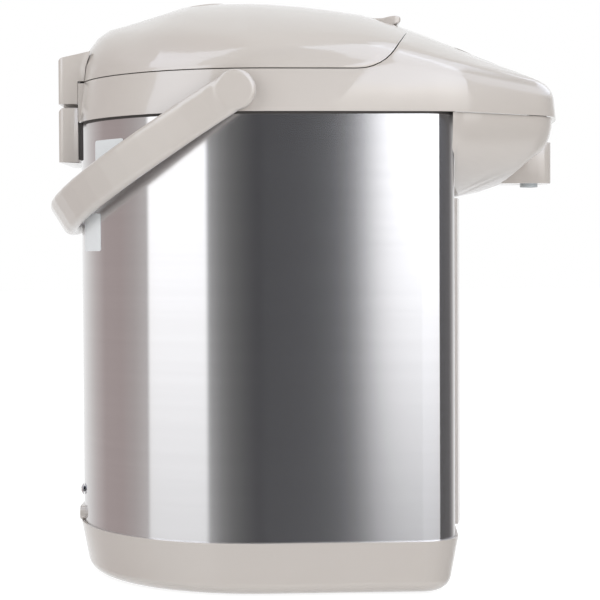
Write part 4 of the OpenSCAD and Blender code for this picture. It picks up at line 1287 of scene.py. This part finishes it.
@dataclass
class HingeUnit(SubAssembly):
    """Bracket and pin at the back."""

    shells: Dict[str, EdgeWork] = field(default_factory=lambda: {"hinge_bracket": EdgeWork.SOFT})
    plain: Tuple[str, ...] = ("hinge_pin",)
    strip_deep: float = 0.0024
    strip_inset: float = 0.0015
    strip_overlap: float = 0.0002
    strip_gap: float = 0.0001
    strip_edge: float = 0.0004

    def new_pieces(self) -> List[bpy.types.Object]:
        """Makes the strip of painted shade; the steel must not mirror the bracket's shaded rear."""
        bpy.data.objects["hinge_bracket_skin"].visible_glossy = False
        return [self._painted_shade_strip()]

    def _painted_shade_strip(self) -> bpy.types.Object:
        """Makes a dark strip between the bracket and the steel that paints the shade in the gap between
        them.

        Returns:
            The painted shade strip.
        """
        low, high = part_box("hinge_bracket")
        side = 0.5 * (high.y - low.y) - self.strip_inset
        rear = high.x - self.strip_overlap
        # painted shade: a dark strip fills the gap between bracket and steel, and gloss does not see it
        dark_strip = block("bracket_shade_strip", (rear, -side, low.z + self.strip_inset),
                     (rear + self.strip_deep, side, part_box("collar")[0].z - self.strip_gap),
                     self.strip_edge, 3)
        shade(dark_strip, self.crease_degrees)
        dark_strip.visible_glossy = False
        return self.add_piece(dark_strip, "pot", "dark_plastic", "painted_shadow_grey")


@dataclass
class LidUnit(SubAssembly):
    """Lid with its liner, hinge block, vent and latch."""

    shells: Dict[str, EdgeWork] = field(default_factory=lambda: {
        "lid_cover": EdgeWork.CRISP, "lid_hinge_block": EdgeWork.SOFT, "steam_vent": EdgeWork.FINE,
        "lid_liner": EdgeWork.FINE})
    plain: Tuple[str, ...] = ("lid_gasket", "lever_pin", "latch_bolt", "release_lever")
    tab_voxel: float = 0.00035
    tab_passes: int = 7
    vent_drop: float = 0.0011
    vent_tilt_degrees: float = 1.4

    def new_pieces(self) -> List[bpy.types.Object]:
        """Lays the vent into the roof and makes the latch tab with the soft edges of a small moulding.

        Returns:
            The latch tab.
        """
        vent = bpy.data.objects["steam_vent_skin"]
        low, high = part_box("steam_vent")
        edit(vent)
        bpy.ops.transform.translate(value=(0.0, 0.0, -self.vent_drop))
        bpy.ops.transform.rotate(value=math.radians(self.vent_tilt_degrees), orient_axis="Y",
                                 center_override=0.5 * (low + high))
        settle()
        return [self.softened("release_lever", self.tab_voxel, self.tab_passes)]


@dataclass
class BailUnit(SubAssembly):
    """Carrying bail with its round ears."""

    plain: Tuple[str, ...] = ("handle",)
    voxel: float = 0.0007
    passes: int = 24

    def new_pieces(self) -> List[bpy.types.Object]:
        """Makes the bail with soft fillets between ears and arms."""
        return [self.softened("handle", self.voxel, self.passes)]


@dataclass
class Insides(SubAssembly):
    """Tank, heater, pump and boards, which show through the mouth or not at all."""

    shells: Dict[str, EdgeWork] = field(default_factory=lambda: {
        "inner_tank": EdgeWork.AS_CUT, "tank_floor": EdgeWork.AS_CUT})
    plain: Tuple[str, ...] = (
        "chassis_plate", "tie_rods", "tank_seal", "insulation_felt", "heater_ring", "thermostat",
        "temperature_sensor", "inlet_hose", "pump_housing", "pump_impeller", "motor_magnet",
        "pump_motor", "power_board")


# ---------------------------------------------------------------- studio

@dataclass(frozen=True)
class SoftBox:
    """A soft box that gloss sees, by the directions that it fills, in degrees.

    A turn runs round the pot from +X towards +Y, and a rise stands over the horizon.

    Attributes:
        start: the turn of its first side.
        end: the turn of its far side.
        edge: how far both sides fade, each way.
        lean: how much the first side moves for a degree of rise over the studio's lean_from.
        top: the rise of its upper edge at the first side.
        top_slope: how much that edge rises for a degree of turn.
        widen: how much the far side moves for a degree of rise over the studio's widen_from.
        glow: how bright it is at some rises.
    """

    start: float
    end: float
    edge: float
    lean: float
    top: float
    top_slope: float
    widen: float
    glow: Tuple[Tuple[float, float], ...]


@dataclass
class Studio:
    """Floor, world, soft lamps and the camera."""

    cards: Tuple[Tuple[float, Colour], ...] = (
        (0.0, (0.13, 0.125, 0.125)), (20.0, (0.15, 0.145, 0.145)), (32.0, (0.26, 0.25, 0.25)),
        (46.0, (0.55, 0.54, 0.53)), (62.0, (0.9, 0.9, 0.9)), (108.0, (0.95, 0.95, 0.95)),
        (126.0, (0.80, 0.78, 0.77)), (140.0, (0.62, 0.57, 0.56)), (154.0, (0.47, 0.405, 0.395)),
        (172.0, (0.46, 0.395, 0.385)), (184.0, (0.50, 0.455, 0.445)), (194.0, (0.60, 0.57, 0.56)),
        (198.0, (0.5, 0.5, 0.5)), (238.0, (0.50, 0.50, 0.50)), (241.5, (0.37, 0.37, 0.37)),
        (247.0, (0.25, 0.25, 0.25)), (253.5, (0.17, 0.17, 0.17)), (262.0, (0.115, 0.115, 0.118)),
        (269.0, (0.085, 0.085, 0.09)), (277.0, (0.085, 0.085, 0.09)), (283.0, (0.1, 0.1, 0.1)),
        (330.0, (0.1, 0.095, 0.095)), (345.0, (0.12, 0.115, 0.115)))
    boxes: Tuple[SoftBox, ...] = (
        SoftBox(332.0, 234.0, 1.5, -4.0, 179.4, 0.69, -0.7, ((39.5, 0.0), (42.5, 1.5))),
        SoftBox(196.5, 238.0, 1.5, 0.0, 41.0, 0.0, 0.0,
                ((-14.0, 0.15), (-9.0, 0.45), (-5.5, 0.65), (-1.6, 0.95), (15.0, 1.5))),
        SoftBox(278.15, 338.5, 0.5, 0.1, 84.0, 0.0, 0.8,
                ((-14.0, 0.1), (-9.0, 0.5), (-5.5, 0.96), (-1.6, 1.38), (4.0, 1.8), (9.0, 3.0),
                 (20.0, 2.7), (45.0, 2.2))),
        SoftBox(338.5, 400.0, 0.5, 0.0, 79.0, 0.0, 0.0, ((43.0, 0.0), (49.0, 1.5))),
        SoftBox(-20.0, 40.0, 0.5, 0.0, 79.0, 0.0, 0.0, ((43.0, 0.0), (49.0, 1.5))),
        SoftBox(341.0, 400.0, 1.5, 0.0, 38.0, 0.0, 0.0, ((13.0, 0.0), (19.0, 1.1))),
        SoftBox(-9.0, 60.0, 1.5, 0.0, 38.0, 0.0, 0.0, ((13.0, 0.0), (19.0, 1.1))))
    lean_from: float = 6.0
    widen_from: float = 30.0
    top_fade: float = 1.5
    cool: Colour = (1.0, 1.1, 1.3)
    cool_from: Tuple[float, float] = (8.0, 16.0)
    ceiling: Colour = (0.75, 0.75, 0.75)
    ceiling_from: Tuple[float, float] = (80.0, 88.0)
    ground: Colour = (1.0, 1.0, 1.0)
    ground_from: Tuple[float, float] = (-44.0, -28.0)
    world_soft: float = 0.55
    floor_size: float = 14.0
    floor_matt: float = 0.92
    floor_shadow: float = 0.35
    floor_white: float = 0.86
    lamps: Tuple[Tuple[str, Tuple[float, float, float], float, float], ...] = (
        ("left_lamp", (-1.1, -1.0, 0.7), 0.9, 5.5), ("right_lamp", (0.9, -1.2, 0.6), 0.9, 7.0),
        ("top_lamp", (0.1, -0.1, 1.5), 1.2, 2.0))
    lamp_aim: Tuple[float, float, float] = (0.02, 0.0, 0.18)
    lens: float = 101.88
    sensor: float = 36.0
    reach: Tuple[float, float] = (0.05, 50.0)
    stand: Tuple[float, float, float] = (0.0236, -1.0, 0.18502)
    pitch_degrees: float = -1.658
    roll_degrees: float = -0.291

    def build(self) -> None:
        """Builds the whole studio."""
        self._floor()
        self._world()
        self._lamps()
        self._camera()

    def _floor(self) -> None:
        """Makes a wide pale floor that shows white and keeps the shadow."""
        settle()
        bpy.ops.mesh.primitive_plane_add(size=self.floor_size, location=ORIGIN)
        floor = bpy.context.object
        floor.name = "studio_floor"
        material = bpy.data.materials.new("pale_floor")
        material.use_nodes = True
        w = Nodes(material.node_tree)
        path, out = w.add("LightPath"), w.add("OutputMaterial")
        matt, white, both = w.add("BsdfDiffuse"), w.add("Emission"), w.add("AddShader")
        mirrored = w.maths("MAXIMUM", path.outputs["Is Glossy Ray"], path.outputs["Is Transmission Ray"])
        seen = w.maths("MAXIMUM", path.outputs["Is Camera Ray"], mirrored)
        w.link(w.spread(seen, self.floor_matt, self.floor_shadow, 0.0, 1.0), matt.inputs["Color"])
        w.link(w.maths("MULTIPLY", seen, self.floor_white), white.inputs["Strength"])
        w.link(matt.outputs[0], both.inputs[0])
        w.link(white.outputs[0], both.inputs[1])
        w.link(both.outputs[0], out.inputs["Surface"])
        put_on(floor, material)
        floor.visible_glossy = False
        floor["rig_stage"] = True
        settle()

    def _box_glow(self, w: Nodes, turn: bpy.types.NodeSocket, rise: bpy.types.NodeSocket,
                  box: SoftBox) -> bpy.types.NodeSocket:
        """Gives the glow of a soft box by direction.

        Args:
            w: the world's writer.
            turn: the direction round the pot, in degrees.
            rise: its height over the horizon, in degrees.
            box: the box.

        Returns:
            The glow's socket.
        """
        over = w.maths("MAXIMUM", w.maths("SUBTRACT", rise, self.lean_from), 0.0)
        leant = w.maths("SUBTRACT", turn, w.maths("MULTIPLY", over, box.lean))
        inside = w.spread(leant, 0.0, 1.0, box.start - box.edge, box.start + box.edge, True)
        wide = w.maths("MAXIMUM", w.maths("SUBTRACT", rise, self.widen_from), 0.0)
        drawn = w.maths("SUBTRACT", turn, w.maths("MULTIPLY", wide, box.widen))
        before_end = w.spread(drawn, 1.0, 0.0, box.end - box.edge, box.end + box.edge, True)
        inside = w.maths("MULTIPLY", inside, before_end)
        along = w.maths("MULTIPLY", w.maths("SUBTRACT", turn, box.start), box.top_slope)
        below_top = w.spread(w.maths("SUBTRACT", rise, along), 1.0, 0.0, box.top - self.top_fade,
                             box.top + self.top_fade, True)
        inside = w.maths("MULTIPLY", inside, below_top)
        glow: Number = box.glow[0][1]
        for (low, here), (high, there) in zip(box.glow, box.glow[1:]):
            glow = w.maths("ADD", glow, w.spread(rise, 0.0, there - here, low, high))
        return w.maths("MULTIPLY", inside, glow)

    def _cards(self, w: Nodes, turn: bpy.types.NodeSocket) -> bpy.types.NodeSocket:
        """Gives the colour of the cards that stand all round.

        Args:
            w: the world's writer.
            turn: the direction round the pot, in degrees.

        Returns:
            The colour's socket.
        """
        ramp = w.add("ValToRGB")
        w.link(w.maths("DIVIDE", turn, 360.0), ramp.inputs[0])
        stops = ramp.color_ramp.elements
        stops.remove(stops[1])
        for index, (angle, colour) in enumerate(self.cards):
            stop = stops[0] if index == 0 else stops.new(angle / 360.0)
            stop.position = angle / 360.0
            stop.color = (*colour, 1.0)
        return ramp.outputs[0]

    def _gloss_light(self, w: Nodes) -> bpy.types.NodeSocket:
        """Gives what gloss sees in every direction: cards, ceiling, ground and soft boxes.

        Args:
            w: the world's writer.

        Returns:
            The light's socket.
        """
        split = w.add("SeparateXYZ")
        w.link(w.add("TexCoord").outputs["Generated"], split.inputs[0])
        turn = w.maths("ARCTAN2", split.outputs["Y"], split.outputs["X"])
        turn = w.maths("MULTIPLY", turn, 180 / math.pi)
        turn = w.maths("MODULO", w.maths("ADD", turn, 360.0), 360.0)
        rise = w.maths("MULTIPLY", w.maths("ARCSINE", split.outputs["Z"]), 180 / math.pi)
        glow = self._box_glow(w, turn, rise, self.boxes[0])
        for box in self.boxes[1:]:
            glow = w.maths("ADD", glow, self._box_glow(w, turn, rise, box))
        high_up = w.spread(rise, 0.0, 1.0, *self.ceiling_from, True)
        above = w.blend(high_up, self._cards(w, turn), self.ceiling)
        low_down = w.spread(rise, 1.0, 0.0, *self.ground_from, True)
        tint = w.blend(w.spread(rise, 0.0, 1.0, *self.cool_from, True), (1.0, 1.0, 1.0), self.cool)
        tinted = w.add("VectorMath", operation="SCALE")
        w.link(tint, tinted.inputs[0])
        w.link(glow, tinted.inputs["Scale"])
        total = w.add("VectorMath", operation="ADD")
        w.link(w.blend(low_down, above, self.ground), total.inputs[0])
        w.link(tinted.outputs[0], total.inputs[1])
        return total.outputs[0]

    def _world(self) -> None:
        """Sets a world: white to the eye, boxes and cards to gloss, a plain soft light to matt."""
        world = bpy.data.worlds.new("studio_world")
        bpy.context.scene.world = world
        world.use_nodes = True
        world.cycles.sampling_method = "NONE"
        w = Nodes(world.node_tree)
        path, out = w.add("LightPath"), w.add("OutputWorld")
        soft, white, boxes = w.add("Background"), w.add("Background"), w.add("Background")
        soft.inputs["Color"].default_value = white.inputs["Color"].default_value = (1.0, 1.0, 1.0, 1.0)
        soft.inputs["Strength"].default_value = self.world_soft
        white.inputs["Strength"].default_value = 1.0
        w.link(self._gloss_light(w), boxes.inputs["Color"])
        gloss, eye = w.add("MixShader"), w.add("MixShader")
        w.link(path.outputs["Is Glossy Ray"], gloss.inputs[0])
        w.link(soft.outputs[0], gloss.inputs[1])
        w.link(boxes.outputs[0], gloss.inputs[2])
        seen = w.maths("MAXIMUM", path.outputs["Is Camera Ray"], path.outputs["Is Transmission Ray"])
        w.link(seen, eye.inputs[0])
        w.link(gloss.outputs[0], eye.inputs[1])
        w.link(white.outputs[0], eye.inputs[2])
        w.link(eye.outputs[0], out.inputs["Surface"])

    def _lamps(self) -> None:
        """Hangs two soft lamps at the front corners and one above."""
        for name, place, size, watts in self.lamps:
            data = bpy.data.lights.new(name, "AREA")
            data.shape, data.size, data.energy = "SQUARE", size, watts
            lamp = bpy.data.objects.new(name, data)
            lamp.location = place
            aim = Vector(self.lamp_aim) - Vector(place)
            lamp.rotation_euler = aim.to_track_quat("-Z", "Y").to_euler()
            lamp.visible_glossy = False
            bpy.context.scene.collection.objects.link(lamp)

    def _camera(self) -> None:
        """Sets the camera level with the collar, almost straight from the side."""
        data = bpy.data.cameras.new("side_camera")
        data.lens, data.sensor_width = self.lens, self.sensor
        data.clip_start, data.clip_end = self.reach
        camera = bpy.data.objects.new("side_camera", data)
        bpy.context.scene.collection.objects.link(camera)
        camera.location = self.stand
        tilt = (Matrix.Rotation(math.radians(90.0 + self.pitch_degrees), 3, "X")
                @ Matrix.Rotation(math.radians(self.roll_degrees), 3, "Z"))
        camera.rotation_euler = tilt.to_euler()
        bpy.context.scene.camera = camera


# ---------------------------------------------------------------- main

def main() -> None:
    """Builds the sub-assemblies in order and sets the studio."""
    logging.basicConfig(level=logging.INFO, format="%(name)s: %(message)s")
    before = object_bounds()
    bpy.context.scene.view_settings.view_transform = "Standard"
    for unit in (BaseUnit(), PowerInlet(), Insides(), JacketUnit(), HeadUnit(), ControlPanel(),
                 HingeUnit(), LidUnit(), BailUnit()):
        for piece in unit.build():
            log.info("%s made %s, %d faces", type(unit).__name__, piece.name, len(piece.data.polygons))
    Studio().build()
    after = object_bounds()
    {"cad": [list(before[0]), list(before[1])], "visual": [list(after[0]), list(after[1])]}
    log.info("size %s", after)


if __name__ == "__main__":
    main()
